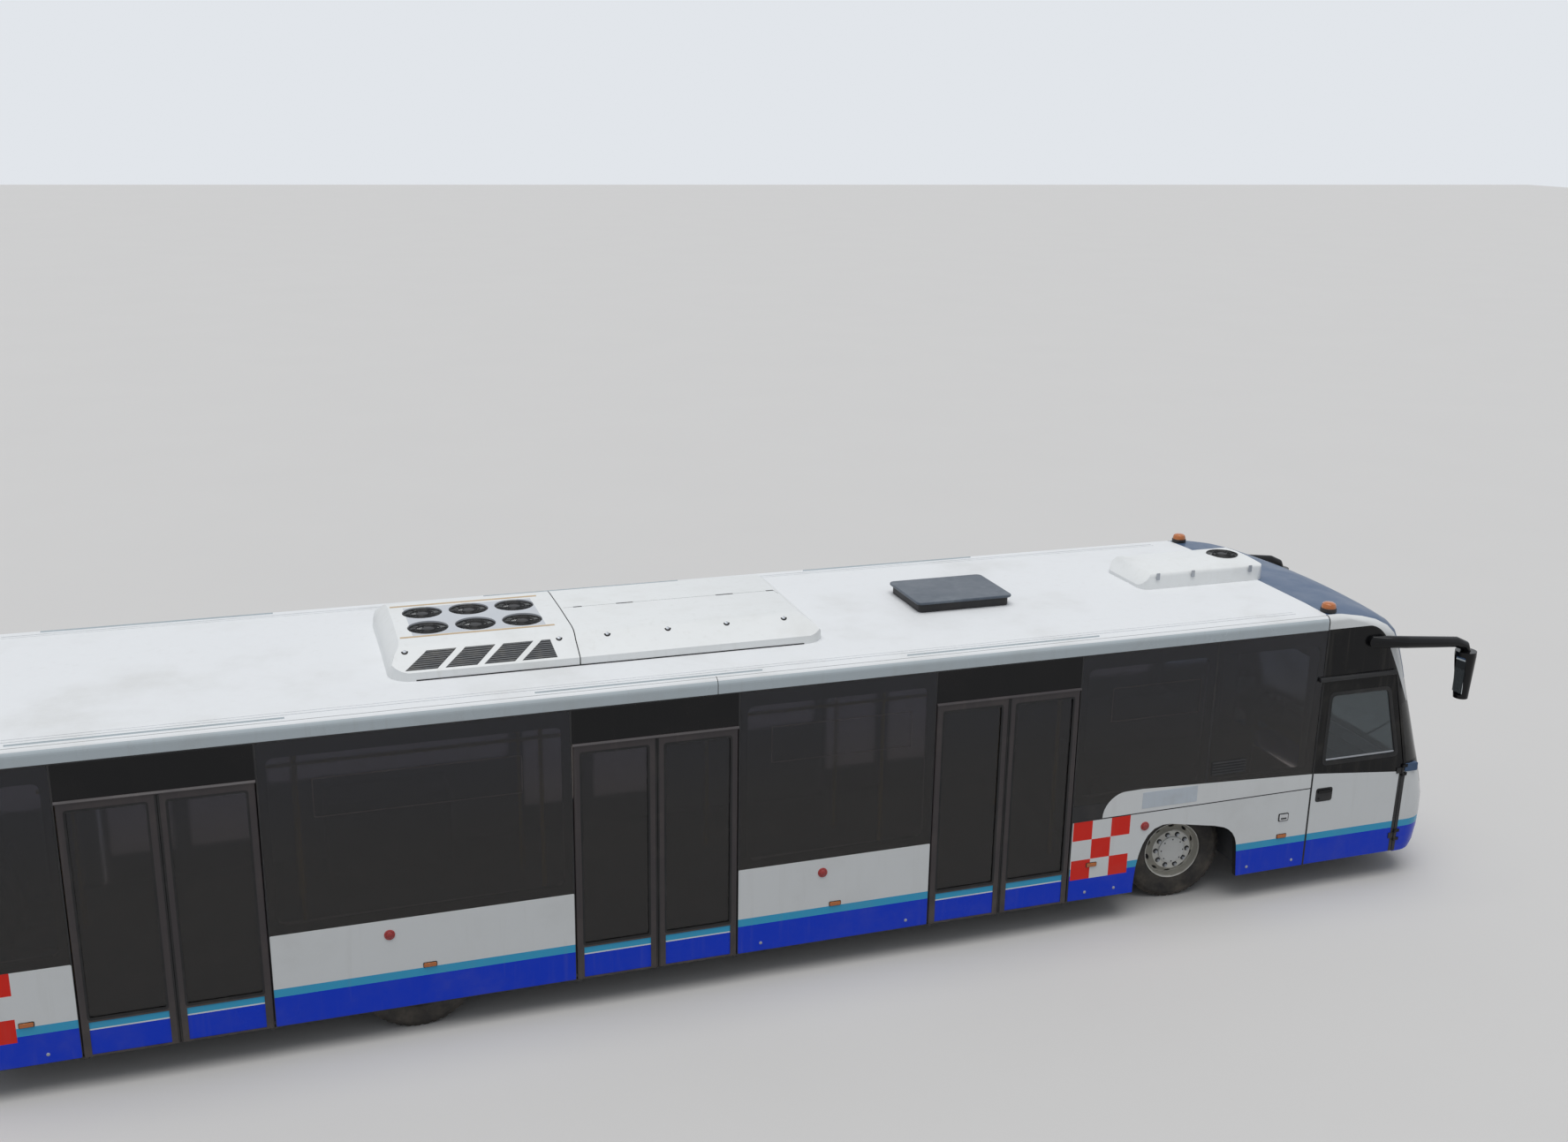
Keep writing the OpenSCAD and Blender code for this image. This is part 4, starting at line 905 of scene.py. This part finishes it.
cabDoor = {"rear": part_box("cab_door_right")[0].x, "front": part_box("cab_door_right")[1].x - 0.018,
           "low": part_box("cab_door_right")[0].z, "waist": 1.40, "top": 2.14, "rail": (5.342, 6.253, 2.294),
           "handle": (5.462, 0.984, 5.660, 1.132), "box": (6.532, 1.187, 6.690, 1.276), "strip": 0.018,
           "railShape": [[1.498, 0], [1.524, -0.004], [1.531, 0.006], [1.528, 0.034], [1.520, 0.042], [1.498, 0.044]],
           "lock": [[0, 0.006], [0.008, 0.006], [0.012, 0.003], [0.012, 0.0], [0, 0.0]]}


def makeCabDoors():
    s = cabDoor
    rear, front, low, waist = (s[k] for k in ("rear", "front", "low", "waist"))
    cut = [[rear + 0.105, waist], [front - 0.095, waist], [front - 0.29, s["top"]], [rear + 0.105, s["top"]]]
    outer, inner = softened(grown(cut, 0.024), 0.07), softened(grown(cut, -0.016), 0.045)
    # a silver strip along the window's lower edge: partly a trim, partly a painted highlight for the bright line seen
    # there
    z = waist + 0.028
    highlightLedge = [[rear + 0.125, z], [front - 0.122, z], [front - 0.128, z + s["strip"]], [rear + 0.125, z + s["strip"]]]
    x0, z0, x1, z1 = s["handle"]
    grip = [plate(roundBox(x0 + 0.016, z1 - 0.052, x1 - 0.016, z1 - 0.020, 0.012), 0.010, 0.019)]
    grip += [plate(roundBox(x, z1 - 0.047, x + 0.025, z1 - 0.025, 0.006, 3), 0.002, 0.012)
             for x in (x0 + 0.020, x1 - 0.045)]
    grip.append(lathe(s["lock"], (x0 + 0.040, halfWidth + 0.002, z0 + 0.035), "y", 20, False))
    doorSeal = [[front - 0.040, low + 0.003], [front - 0.001, low + 0.003], [front - 0.001, 1.172],
                [front - 0.024, 1.178]]
    maskSeal = [[front + 0.0065, low], [front + 0.040, low], [front + 0.052, 1.19], [front + 0.0065, 1.19]]
    seam = [[seamX - 0.012, skirtZ], [seamX + 0.0082, skirtZ], [seamX + 0.0082, railZ - 0.006],
            [seamX - 0.012, railZ - 0.006]]
    r0, r1, rise = s["rail"]
    door, mask = ("cab_door", "cab_door_{}"), ("front_mask",)
    for label, shape, finish, bevel, owner in (
            ("cab_door_seal", plate(doorSeal, -0.0005, 0.0022), "blackTrim", 0.0006, door),
            ("mask_seal", plate(maskSeal, -0.004, 0.0015), "blackTrim", 0.0006, mask),
            ("cab_seam", plate(seam, -0.002, 0.0044), "rubber", 0.001, ("side_wall",)),
            ("corner_lamp", plate(roundBox(*s["box"], 0.012), -0.035, 0.006), "visorPaint", 0.004, mask),
            ("cab_door_pane", plate(softened(grown(cut, 0.006), 0.05), -0.013, -0.007), "cabGlass", 0, door),
            ("cab_door_rubber", band(outer, inner, halfWidth - 0.012, halfWidth + 0.003), "rubber", 0.0015, door),
            ("cab_door_ledge", plate(softened(highlightLedge, 0.006), -0.009, -0.0045), "silver", 0.0008, door),
            ("cab_door_recess", plate(roundBox(x0, z0, x1, z1, 0.026), -0.001, 0.003), "blackTrim", 0.001, door),
            ("cab_door_grip", grip, "blackPaint", 0.002, door),
            ("rain_rail", moved(prism(s["railShape"], r0, r1, "x"), (0, 0, rise)), "blackTrim", 0.002, mask)):
        bothSides(label, shape, finish, bevel, *owner)


# Door leaves: rubber on the free edges and round the glass

leafSet = {"rubber": 0.0044, "proud": 0.012, "frame": 0.062, "panel": 0.33}


def makeLeafTrim():
    s = leafSet
    y = halfWidth + s["proud"]
    for i, name, end in leaves:
        body = f"door_{i}_{name}_{end}_leaf"
        low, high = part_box(body)
        out = 1 if abs(high.x - doorMiddles[i - 1]) < abs(low.x - doorMiddles[i - 1]) else -1
        edge = high.x if out > 0 else low.x
        strip = [(-0.012, 0.0002), (-0.010, 0.004), (s["rubber"] * 0.6, 0.003), (s["rubber"], -0.006),
                 (s["rubber"], -0.030), (0.0003, -0.032), (0.0003, 0.0002)]
        strip = np.array(strip) * [out, 1] + [edge, y]
        x0, x1 = low.x + s["frame"] - 0.004, high.x - s["frame"] + (-0.002 if out > 0 else 0.004)
        z0, z1 = low.z + s["panel"] - 0.004, high.z - s["frame"] + 0.004
        gasket = band(*(roundBox(x0 - d, z0 - d, x1 + d, z1 + d, r, 3) for d, r in ((0.004, 0.024), (-0.014, 0.014))),
                      y - 0.012, y + 0.0015)
        shape = merge([prism(strip, low.z + 0.004, high.z - 0.004, "z"), gasket])
        addPiece(f"leaf_rubber_{i}_{name}_{end}", forSide(shape, sides[name]), "rubber", 0, body)


# Lamps: two beacons on the roof and four round tail lamps take the place of the CAD lamps

lampSet = {"beacon": (seamX + 0.075, 1.35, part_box("lamps")[1].z - 0.0952), "tail": (1.33, (0.640, 0.780)),
           "dome": [[0.0, 0.0945], [0.026, 0.0935], [0.048, 0.0885], [0.062, 0.079], [0.069, 0.062], [0.071, 0.042],
                    [0.071, 0.036], [0, 0.036]],
           "foot": [[0, 0.0372], [0.0745, 0.0372], [0.0775, 0.034], [0.0779, 0.0], [0, 0.0]],
           "bezel": [[0.053, 0.0], [0.053, -0.006], [0.056, -0.0085], [0.061, -0.008], [0.064, -0.004], [0.064, 0.0]]}


def makeLamps():
    s = lampSet
    x, y, z = s["beacon"]
    domes, feet = ([lathe(s[k], (x, side * y, z), "z", 48, False) for side in (-1, 1)] for k in ("dome", "foot"))
    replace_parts(addPiece("beacon_domes", domes, "amberLens", 0, sharp=30), "lamps")
    addPiece("beacon_feet", feet, "blackTrim", 0.001)
    # a stepped lens: rings of 6 mm that rise and fall over the dome
    radius = np.linspace(0, 0.052, 40)
    rise = 0.0068 * np.cos(radius / 0.052 * 1.25) + 0.0007 * np.cos(radius / 0.006 * 2 * math.pi)
    lens = np.vstack([np.stack([radius, -rise - 0.003], 1), [[0.054, -0.001], [0.054, 0.0], [0, 0.0]]])
    y, heights = s["tail"]
    spots = [(tailX, side * y, z) for side in (-1, 1) for z in heights]
    addPiece("tail_lamp_lenses", [lathe(lens, p, "x", 48, False) for p in spots], "redLens", 0, sharp=40)
    addPiece("tail_lamp_bezels", [lathe(s["bezel"], p, "x", 48) for p in spots], "blackTrim", 0)


# Front: lamp clusters, signals, seams, blank plate and wipers

frontSet = {"clusterY": 1.03, "clusterZ": 0.665, "radii": (0.062, 0.062, 0.045), "pitch": 0.135,
            "seams": ((0.470, 0.478), (0.968, 0.976)), "foot": (0.22, 1.025), "tip": (1.02, 1.60), "bladeLength": 0.92,
            "ring": [[0.010, -0.004], [0.009, 0.006], [0.003, 0.009], [-0.002, 0.006], [-0.002, -0.004]],
            "pivot": [[0, 0.034], [0.018, 0.032], [0.024, 0.024], [0.026, 0.0], [0, 0.0]]}


def makeFront():
    s = frontSet
    y, z = s["clusterY"], s["clusterZ"]
    rings, lenses, signs, t = [], [], (-1, 1), np.linspace(0, 1, 14)
    for side in signs:
        for k, radius in enumerate(s["radii"]):
            across = side * (y - 0.125 + k * s["pitch"])
            centre = (noseFace(across, z) + 0.001, across, z)
            lens = np.vstack([np.stack([radius * t, 0.004 + 0.006 * (1 - t ** 2)], 1), [[radius, -0.002], [0, -0.002]]])
            rings.append(lathe(np.array(s["ring"]) + [radius, 0], centre, "x", 40))
            lenses.append(lathe(lens, centre, "x", 40, False))
    seams = [levelSheet(-1.15, 1.15, z0, z1, 0.0012, 0.002, 60, 3) for z0, z1 in s["seams"]]
    for label, shape, finish, bevel in (
            ("lamp_panels", [ovalSheet(side * y, z, 0.235, 0.098, 0.0035) for side in signs], "blackTrim", 0),
            ("head_lamp_rings", rings, "chrome", 0), ("head_lamp_lenses", lenses, "clearLens", 0),
            ("front_signals", [levelSheet(side * 1.20, side * 1.33, 0.80, 0.84, 0.006, 0.008) for side in signs],
             "amberLens", 0.002),
            ("front_seams", seams, "rubber", 0),
            ("front_plate_blank", levelSheet(-0.26, 0.26, 0.545, 0.655, 0.005, 0.004, 12, 6), "plateBlank", 0.001)):
        addPiece(label, shape, finish, bevel)

    def onNose(flat, lift):
        return np.column_stack([noseFace(flat[:, 0], flat[:, 1]) + lift, flat])

    t = np.linspace(0, 1, 24)[:, None]
    for name, side in sides.items():
        foot, tip = (np.array(s[k]) * [side, 1] for k in ("foot", "tip"))
        arm = onNose(foot * (1 - t) + tip * t, 0.022)
        blade = onNose((t - 0.5) * s["bladeLength"] * [side * 0.30, 0.954] + tip * 0.93 + foot * 0.07, 0.010)
        pivot = lathe(s["pivot"], (noseFace(*foot) - 0.002, *foot), "x", 28, False)
        addPiece(f"wiper_{name}", [tube(blade, 0.007, 8), tube(blade + [0.008, 0, 0], 0.005, 8),
                                   tube(arm, np.linspace(0.013, 0.007, 24), 10), pivot], "blackTrim", 0)


# Rear wall: window seal, engine grille, seams, blank plate, lamps' plinths and high lamps

rearSet = {"grille": (-0.62, 0.62, 0.62, 1.10), "slats": 11, "plate": (-0.26, 0.455, 0.26, 0.565),
           "slat": [[-0.0025, 0.0], [-0.0095, -0.010], [-0.0105, -0.007], [-0.0040, 0.010]],
           "seal": ((-1.325, 1.395, 1.325, 2.705, 0.05), (-1.27, 1.45, 1.27, 2.65, 0.03)),
           "levels": (1.24, 1.36), "uprights": (-1.16, -0.70, 0.70, 1.16)}


def makeRear():
    s = rearSet

    def onRear(lift, depth, *box):
        # a rounded box in (y, z) on the rear wall, raised backwards by lift
        return prism(roundBox(*box), tailX - lift, tailX - lift + depth, "x")

    y0, y1, z0, z1 = s["grille"]
    pitch = (z1 - z0) / s["slats"]
    grille = [onRear(0.0035, 0.003, y0 - 0.02, z0 - 0.02, y1 + 0.02, z1 + 0.02, 0.03)]
    grille += [moved(prism(s["slat"], y0, y1), (tailX, 0, z0 + (k + 0.5) * pitch)) for k in range(s["slats"])]
    points, faces = band(*(roundBox(*box, 5) for box in s["seal"]), 0, 0.006)
    seal = points[:, [1, 0, 2]] * [-1, 1, 1] + [tailX + 0.002, 0, 0], faces
    seams = [(-1.47, z - 0.002, 1.47, z + 0.002) for z in s["levels"]]
    seams += [(y - 0.002, 0.31, y + 0.002, 1.238) for y in s["uprights"]]
    lampsAt = [(side * 1.33, side * 1.30) for side in (-1, 1)]
    for label, shape, finish, bevel in (
            ("rear_grille", grille, "blackTrim", 0.0008), ("rear_window_seal", seal, "rubber", 0.001),
            ("rear_plate_blank", onRear(0.004, 0.0035, *s["plate"], 0.008, 3), "plateBlank", 0.0008),
            ("rear_seams", [onRear(0.0008, 0.0006, *box, 0.001, 1) for box in seams], "rubber", 0),
            ("tail_lamp_plinths", [onRear(0.003, 0.0026, y - 0.085, 0.55, y + 0.085, 0.87, 0.05, 5)
                                   for y, _ in lampsAt], "blackTrim", 0.001),
            ("rear_high_lamps", [onRear(0.0105, 0.010, y - 0.05, 2.76, y + 0.05, 2.80, 0.015) for _, y in lampsAt],
             "redLens", 0.002)):
        addPiece(label, shape, finish, bevel)


makeCabDoors()
makeLeafTrim()
makeLamps()
makeFront()
makeRear()
print("stage: doors and ends made")


# Roof units: grilles on the slopes, bolts, strips, latches and fans; beside them gutters and the hatch

slopeLine = np.array([[0.885, 2.983], [0.879, 3.055], [0.690, 3.160], [0.650, 3.197], [0.600, 3.219], [0.520, 3.229],
                      [0.0, 3.235]])
unitSet = {"grilles": [[0.1355, 0.3365, 0.5885, 0.4035], [0.4695, 0.6635, 0.9205, 0.7365],
                       [0.7965, 0.9915, 1.2495, 1.0585], [1.1225, 1.3215, 1.3985, 1.4265]],
           "span": (0.028, 0.238), "slats": 9, "bolts": [0.1545, 1.4775, 1.9075, 2.4585, 3.0065, 3.5535],
           "latches": [4.19, 4.60, 5.287], "gutters": ((0.943, 2.886), (-2.41, -0.424), (-6.42, -4.40)),
           "rib": [[1.398, 2.9655], [1.402, 2.9785], [1.405, 2.9785], [1.409, 2.9645]],
           "foot": [[0.8805, 2.984], [0.8885, 2.984], [0.8885, 2.993], [0.8805, 2.993]],
           "cap": [[0, 0.006], [0.009, 0.0055], [0.015, 0.003], [0.016, -0.002], [0, -0.002]],
           "ring": [[0.016, -0.001], [0.016, 0.0016], [0.030, 0.0014], [0.030, -0.001]],
           "motor": [[0, 0.004], [0.045, 0.003], [0.055, -0.002], [0.055, -0.012], [0, -0.012]]}


def makeUnitGrilles():
    # v runs up the slope from its upright edge, u along the bus; sheets are lifted square to the slope's flat part
    (t0, t1), out, count = unitSet["span"], np.array([0.486, 0.874]), unitSet["slats"]
    line = slopeLine[1:]
    far = np.concatenate([[0], np.cumsum(np.linalg.norm(np.diff(line, axis=0), axis=1))])
    u = np.linspace(0, 1, 3)[None, :]

    def sheet(corners, v, u, lift, thickness):
        lowLeft, highLeft, highRight, lowRight = corners
        left, right = lowLeft + (highLeft - lowLeft) * v, lowRight + (highRight - lowRight) * v
        t = t0 + (t1 - t0) * (v + 0 * u)
        y, z = (np.interp(t, far, line[:, k]) + out[k] * lift for k in (0, 1))
        return sheetShape(np.stack([unitX + left + (right - left) * u, y, z], -1), (0, *(-out * thickness)))

    plates = [sheet(c, np.linspace(0, 1, 10)[:, None], u, 0.0015, 0.003) for c in unitSet["grilles"]]
    slats = [sheet(c, np.array([[-0.022], [0.022]]) + (k + 0.5) / count, 0.02 + 0.96 * u, 0.0065, 0.004)
             for c in unitSet["grilles"] for k in range(count)]
    bothSides("unit_grille_plates", plates, "grilleDark", 0, "ac_unit")
    bothSides("unit_grille_slats", slats, "grilleSlat", 0, "ac_unit")


def makeUnitTrim():
    s = unitSet
    line = slopeLine - [0.002, 0.001]
    profile = np.vstack([line, line[::-1] * [-1, 1]])
    gasket = np.vstack([profile, (profile - [0, 0.03])[::-1]])
    strips = [prism([[y - 0.016, 3.2298], [y + 0.016, 3.2298], [y + 0.014, 3.2335], [y - 0.014, 3.2335]],
                    unitX + 0.1415, unitX + 1.4815, "x") for y in (-0.45, 0.45)]
    latches = [prism(roundBox(x - 0.020, 3.088, x + 0.020, 3.160, 0.006, 3), -0.2865, -0.2795) for x in s["latches"]]
    addPiece("unit_gasket", prism(gasket, unitX + 1.6152, unitX + 1.6248, "x"), "rubber", 0)
    addPiece("unit_strips", strips, "beige", 0.0008)
    addPiece("cab_unit_latches", latches, "silver", 0.0015)
    spots = [(unitX + x, 0.668, 3.1785) for x in s["bolts"]]
    bolts, rings = ([turned(lathe(s[k], p, "z", 20, k == "ring"), -math.radians(39), "X", p) for p in spots]
                    for k in ("cap", "ring"))
    bothSides("unit_bolts", bolts, "silver", 0, "ac_unit")
    bothSides("unit_bolt_rings", rings, "rubber", 0, "ac_unit")
    # a dark strip along the unit's lower edge: partly a rubber gasket, partly a painted shadow line where the unit
    # meets the roof
    bothSides("unit_foot_shadow_gap", prism(s["foot"], unitX + 0.22, unitX + 3.68, "x"), "rubber", 0, "ac_unit")
    bothSides("roof_gutters", [prism(s["rib"], a, b, "x") for a, b in s["gutters"]], "railPaint", 0, "roof")


def makeFans():
    # wire guards: rings and spokes over each fan, the blades and motor under them
    spots = [(unitX + 0.405 + i * 0.415, (j - 0.5) * 0.44, 0.175, 3.2215) for i in range(3) for j in range(2)]
    wires, blades, motors = [], [], []
    for x, y, radius, z in spots + [(5.2135, 0.130, 0.162, 3.181)]:
        for r in np.arange(0.055, radius + 0.001, 0.0135):
            wires.append(lathe([[r - 0.0016, 0.0], [r, 0.0018], [r + 0.0016, 0.0], [r, -0.0018]], (x, y, z), "z", 48))
        for a in np.radians(np.arange(0, 360, 30)):
            path = np.outer([0.03, radius], [math.cos(a), math.sin(a), 0]) + [x, y, z - 0.003]
            wires.append(tube(path, 0.0018, 6))
        motors.append(lathe(unitSet["motor"], (x, y, z - 0.002), "z", 32, False))
        u, v = np.meshgrid(np.linspace(0.05, radius - 0.012, 8), np.linspace(-0.36, 0.36, 7), indexing="ij")
        for k in range(5):
            a = v * (0.7 + u * 1.5) + k * 2 * math.pi / 5
            points = np.stack([x + u * np.cos(a), y + u * np.sin(a), z - 0.026 + v * 0.028], -1)
            blades.append(sheetShape(points, (0, 0, -0.002)))
    for label, shape, finish in (("wires", wires, "blackTrim"), ("motors", motors, "blackTrim"),
                                 ("blades", blades, "dashPlastic")):
        addPiece(f"fan_{label}", shape, finish, 0)


def makeHatch():
    (x0, y0, low), (x1, y1, high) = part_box("roof_hatch")
    lid = prism(roundBox(x0, y0, x1, y1, 0.06, 8), high - 0.028, high, "z")
    frame = prism(roundBox(x0 + 0.03, y0 + 0.03, x1 - 0.03, y1 - 0.03, 0.04, 6), low, high - 0.027, "z")
    piece = addPiece("hatch_lid", lid, "hatchPlastic", 0.011, "roof_hatch", 30, 4)
    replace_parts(piece, "roof_hatch")
    addPiece("hatch_frame", frame, "blackTrim", 0.002, "roof_hatch")


makeUnitGrilles()
makeUnitTrim()
makeFans()
makeHatch()
print("stage: roof made")


# Wheels: rim with oval vents, nuts and hub cap, and tyres with tread, each pair in place of the CAD ones

wheelSet = {"vents": 10, "ventAt": 0.247, "nuts": 10, "nutAt": 0.172, "hollow": (0.210, 0.2848), "steer": -5}
rimLine = [[0.298, 0.1175], [0.2915, 0.1165], [0.2865, 0.110], [0.2840, 0.098], [0.2780, 0.062], [0.2700, 0.046],
           [0.2580, 0.045], [0.2250, 0.070], [0.2140, 0.0860], [0.2060, 0.0945], [0.1980, 0.0965], [0.1500, 0.0965],
           [0.1480, 0.092], [0.1480, 0.070], [0.2050, 0.066], [0.2200, 0.056], [0.2580, 0.030], [0.2700, 0.020],
           [0.2660, -0.020], [0.2780, -0.070], [0.2840, -0.098], [0.2900, -0.1165], [0.2970, -0.1165],
           [0.2970, -0.104], [0.2848, -0.0965], [0.2826, -0.070], [0.2762, 0.0], [0.2826, 0.070], [0.2848, 0.0965],
           [0.2970, 0.104]]
capLine = [[0, 0.1250], [0.060, 0.1242], [0.105, 0.1215], [0.128, 0.1170], [0.140, 0.1110], [0.1440, 0.1030],
           [0.1450, 0.0965], [0.1490, 0.0960], [0.1490, 0.080], [0, 0.080]]
tyreWall = np.array([[0.2862, 0.097], [0.2985, 0.1035], [0.3060, 0.1215], [0.3240, 0.1335], [0.3580, 0.1372],
                     [0.4000, 0.1372], [0.4400, 0.1368], [0.4560, 0.1366], [0.4700, 0.1300], [0.4860, 0.1180],
                     [0.5010, 0.1060]])
tread = np.array([0.0995, 0.0850, 0.0790, 0.0735, 0.0680, 0.0520, 0.0330, 0.0270, 0.0220, 0.0160])
treadDepth = np.array([0, 0, 0, 1, 1, 0, 0, 1, 1, 0.0])
bead = np.array([[0.2862, -0.097], [0.2848, -0.0700], [0.2800, 0.0], [0.2848, 0.0700]])


def cutHoles(shape, cutter):
    # the first shape with the second one's solids taken out
    made = [objectOf(name, meshOf(name, s)) for name, s in (("holed", shape), ("holes", cutter))]
    cut = made[0].modifiers.new("holes", "BOOLEAN")
    cut.object, cut.solver = made[1], "EXACT"
    result = shapeOf(evaluated(made[0]))
    for piece in made:
        bpy.data.objects.remove(piece)
    return result


def ringOf(shape, count, first=0.0):
    # the shape repeated round the wheel's axle
    return merge([turned(shape, first + k * 2 * math.pi / count, "Y") for k in range(count)])


def treadTyre(parts=240):
    # rows go round the tyre; the tread's ribs have wavy grooves between them and notches on the shoulders
    def across(wall, middle, sign=1):
        half = np.concatenate([wall, middle])
        return np.concatenate([half, sign * half[::-1]])

    radius, rows = (np.asarray(k) for k in (across(tyreWall[:, 0], 0.5148 - 0.02 * tread ** 2),
                                            across(tyreWall[:, 1], tread, -1)))
    groove = across(0 * tyreWall[:, 0], treadDepth)
    shoulder = across(np.arange(len(tyreWall)) > 8, tread > 0.078)
    turn = np.arange(parts)[:, None] * 2 * math.pi / parts
    notch = (np.arange(parts) % 6 < 2)[:, None]
    radius = radius - 0.012 * groove - 0.008 * (shoulder * notch * (groove == 0))
    rows = rows + 0.003 * groove * np.sin(turn * 60)
    # back along the bead seat and the inside of the rim
    radius = np.hstack([radius, np.tile(bead[:, 0], (parts, 1))])
    rows = np.hstack([rows, np.tile(bead[:, 1], (parts, 1))])
    points = np.stack([radius * np.cos(turn), rows, radius * np.sin(turn)], -1)
    return points.reshape(-1, 3), gridFaces(parts, points.shape[1], True, True).tolist()


def makeWheels():
    s = wheelSet
    t = np.linspace(0, 2 * math.pi, 24, endpoint=False)

    def disc(at, rx, rz, low, high, step=1):
        return prism(np.stack([at + rx * np.cos(t[::step]), rz * np.sin(t[::step])], 1), low, high)

    at, count = s["nutAt"], s["nuts"]
    vents = ringOf(disc(s["ventAt"], 0.0150, 0.034, 0.015, 0.100), s["vents"], math.pi / 10)
    rim = cutHoles(lathe(rimLine, (0, 0, 0), "y", 120), vents)
    nuts = merge([ringOf(disc(at, 0.0165, 0.0165, 0.096, 0.116, 4), count),
                  ringOf(disc(at, 0.0085, 0.0085, 0.116, 0.122, 2), count)])
    # dark rings round the nuts: painted shadow under each nut
    nutShadowRings = ringOf(disc(at, 0.0262, 0.0262, 0.096, 0.0985), count)
    cap = lathe(capLine, (0, 0, 0), "y", 72, False)
    dots = lathe([[0, 0.0125], [0.006, 0.012], [0.008, 0.0095], [0, 0.0095]], (0.118, 0.1095, 0), "y", 14, False)
    pieces = (("rim", rim, "wheelPaint wheelShade", "wheel", 24), ("nuts", nuts, "silver", None, 35),
              ("nutShadowRings", nutShadowRings, "rubber", None, 35), ("hub_cap", cap, "capPaint", None, 30),
              ("cap_dots", ringOf(dots, 8), "blackTrim", None, 35), ("tyre", treadTyre(), "tyreRubber", "tyre", 40))
    for axle in ("front", "rear"):
        for name, side in sides.items():
            centre = np.array(sum(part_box(f"tyre_{axle}_{name}"), start=Vector()) / 2)
            angle = math.radians(s["steer"]) if axle == "front" else 0.0

            def hollow(centres, normals):
                # the hollow between flange and nuts gets painted shade, a darker copy of the wheel paint
                reach = np.linalg.norm((centres - centre)[:, ::2], axis=1)
                return (reach > s["hollow"][0]) & (reach < s["hollow"][1])

            for label, shape, finish, node, sharp in pieces:
                placed = moved(turned(forSide(shape, side), angle, "Z"), centre)
                piece = addPiece(f"{label}_{axle}_{name}", placed, finish, 0, f"wheel_{axle}_{name}",
                                 sharp, paint=hollow if label == "rim" else None)
                if node:
                    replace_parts(piece, f"{node}_{axle}_{name}")


makeWheels()
print("stage: wheels made")


# Seats: padded cushions on shells

seatSet = {"rows": [-1.15, -0.69, -0.23, 0.23, 0.69, 1.15], "x": tailX + 0.33, "driver": (noseX - 1.3, 0.56, 0.06),
           "width": 0.43, "swell": 4.0, "cap": 0.010, "voxel": 0.006,
           "pads": (("cushions", "cushionForm", 0.40, 0.055, -2, (0.230, 0, 0.493)),
                    ("backs", "backForm", 0.50, 0.050, -102.3, (-0.012, 0, 0.775))),
           "shell": np.array([[0.425, 0.462], [0.38, 0.455], [0.12, 0.450], [0.00, 0.452], [-0.035, 0.490],
                              [-0.060, 0.62], [-0.098, 0.85], [-0.125, 1.04]])}


def padShape(length, width, height, squareness=0.32):
    # a closed pillow whose outline pulls in between its corners and whose top is crowned
    rows, columns = 72, 25
    lift, turn = np.meshgrid(np.linspace(-math.pi / 2, math.pi / 2, columns),
                             np.linspace(0, 2 * math.pi, rows, endpoint=False))

    def signed(v, p):
        return np.sign(v) * np.abs(v) ** p

    ring = signed(np.cos(lift), 0.42)
    x = length / 2 * ring * signed(np.cos(turn), squareness)
    y = width / 2 * ring * signed(np.sin(turn), squareness)
    z = height / 2 * signed(np.sin(lift), 0.6)
    z = np.where(z < 0, z * 0.55, z * (1.0 + 0.30 * np.exp(-(x / length) ** 2 * 9 - (y / width) ** 2 * 9)))
    pull = 1 - 0.035 * (1 - np.abs(np.sin(2 * turn)))
    return np.stack([x * pull, y * pull, z], -1).reshape(-1, 3), gridFaces(rows, columns, True).tolist()


def inflated(shape, name):
    # cloth pressure swells the pad; no point moves further than the cap
    piece = objectOf(name, meshOf(name, shape, 1e-5))
    remesh = piece.modifiers.new("evenGrid", "REMESH")
    remesh.mode, remesh.voxel_size = "VOXEL", seatSet["voxel"]
    even = evaluated(piece)
    piece.modifiers.clear()
    piece.data = even
    start, faces = shapeOf(even)
    cloth = piece.modifiers.new("swell", "CLOTH").settings
    cloth.use_pressure, cloth.uniform_pressure_force = True, seatSet["swell"]
    cloth.effector_weights.gravity = 0
    for k in range(1, 21):
        scene.frame_set(k)
    move = shapeOf(evaluated(piece))[0] - start
    far = np.linalg.norm(move, axis=1)[:, None]
    start = start + move * np.minimum(1, seatSet["cap"] / np.maximum(far, 1e-9))
    scene.frame_set(1)
    bpy.data.objects.remove(piece)
    return start, faces


def makeSeats():
    s, w = seatSet, seatSet["width"]
    pads = {kind: moved(turned(inflated(padShape(length, w - 0.03, height), form), math.radians(lean), "Y"), place)
            for kind, form, length, height, lean, place in s["pads"]}
    # the shell is a bent sheet under the cushion and behind the back; it stands on a leg with a foot
    across = np.linspace(-w / 2, w / 2, 9)[None, :] + np.zeros((8, 1))
    dish = 0.012 * (across / (w / 2)) ** 2
    x, z = s["shell"][:, :1] + 0.3 * dish, s["shell"][:, 1:] + dish
    shell = sheetShape(np.stack([x, across, z], -1), (-0.004, 0, -0.008))
    legs = [prism(roundBox(0.08, -0.10, 0.22, 0.10, 0.02), 0.3702, 0.448, "z"),
            prism(roundBox(0.05, -0.14, 0.25, 0.14, 0.02), 0.3702, 0.378, "z")]
    for label, places in (("passenger", [(s["x"], y, 0.0) for y in s["rows"]]), ("driver", [s["driver"]])):
        for kind, shape in pads.items():
            placed = [moved(shape, p) for p in places]
            pad = addPiece(f"{label}_seat_{kind}", placed, "seatFabric", 0, sharp=60)
        rest = [moved(shape, p) for p in places for shape in [shell] + legs]
        piece = addPiece(f"{label}_seat_shells", rest, "seatShell", 0.001)
        if label == "passenger":
            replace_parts(piece, "seats")


makeSeats()
print("stage: seats made")
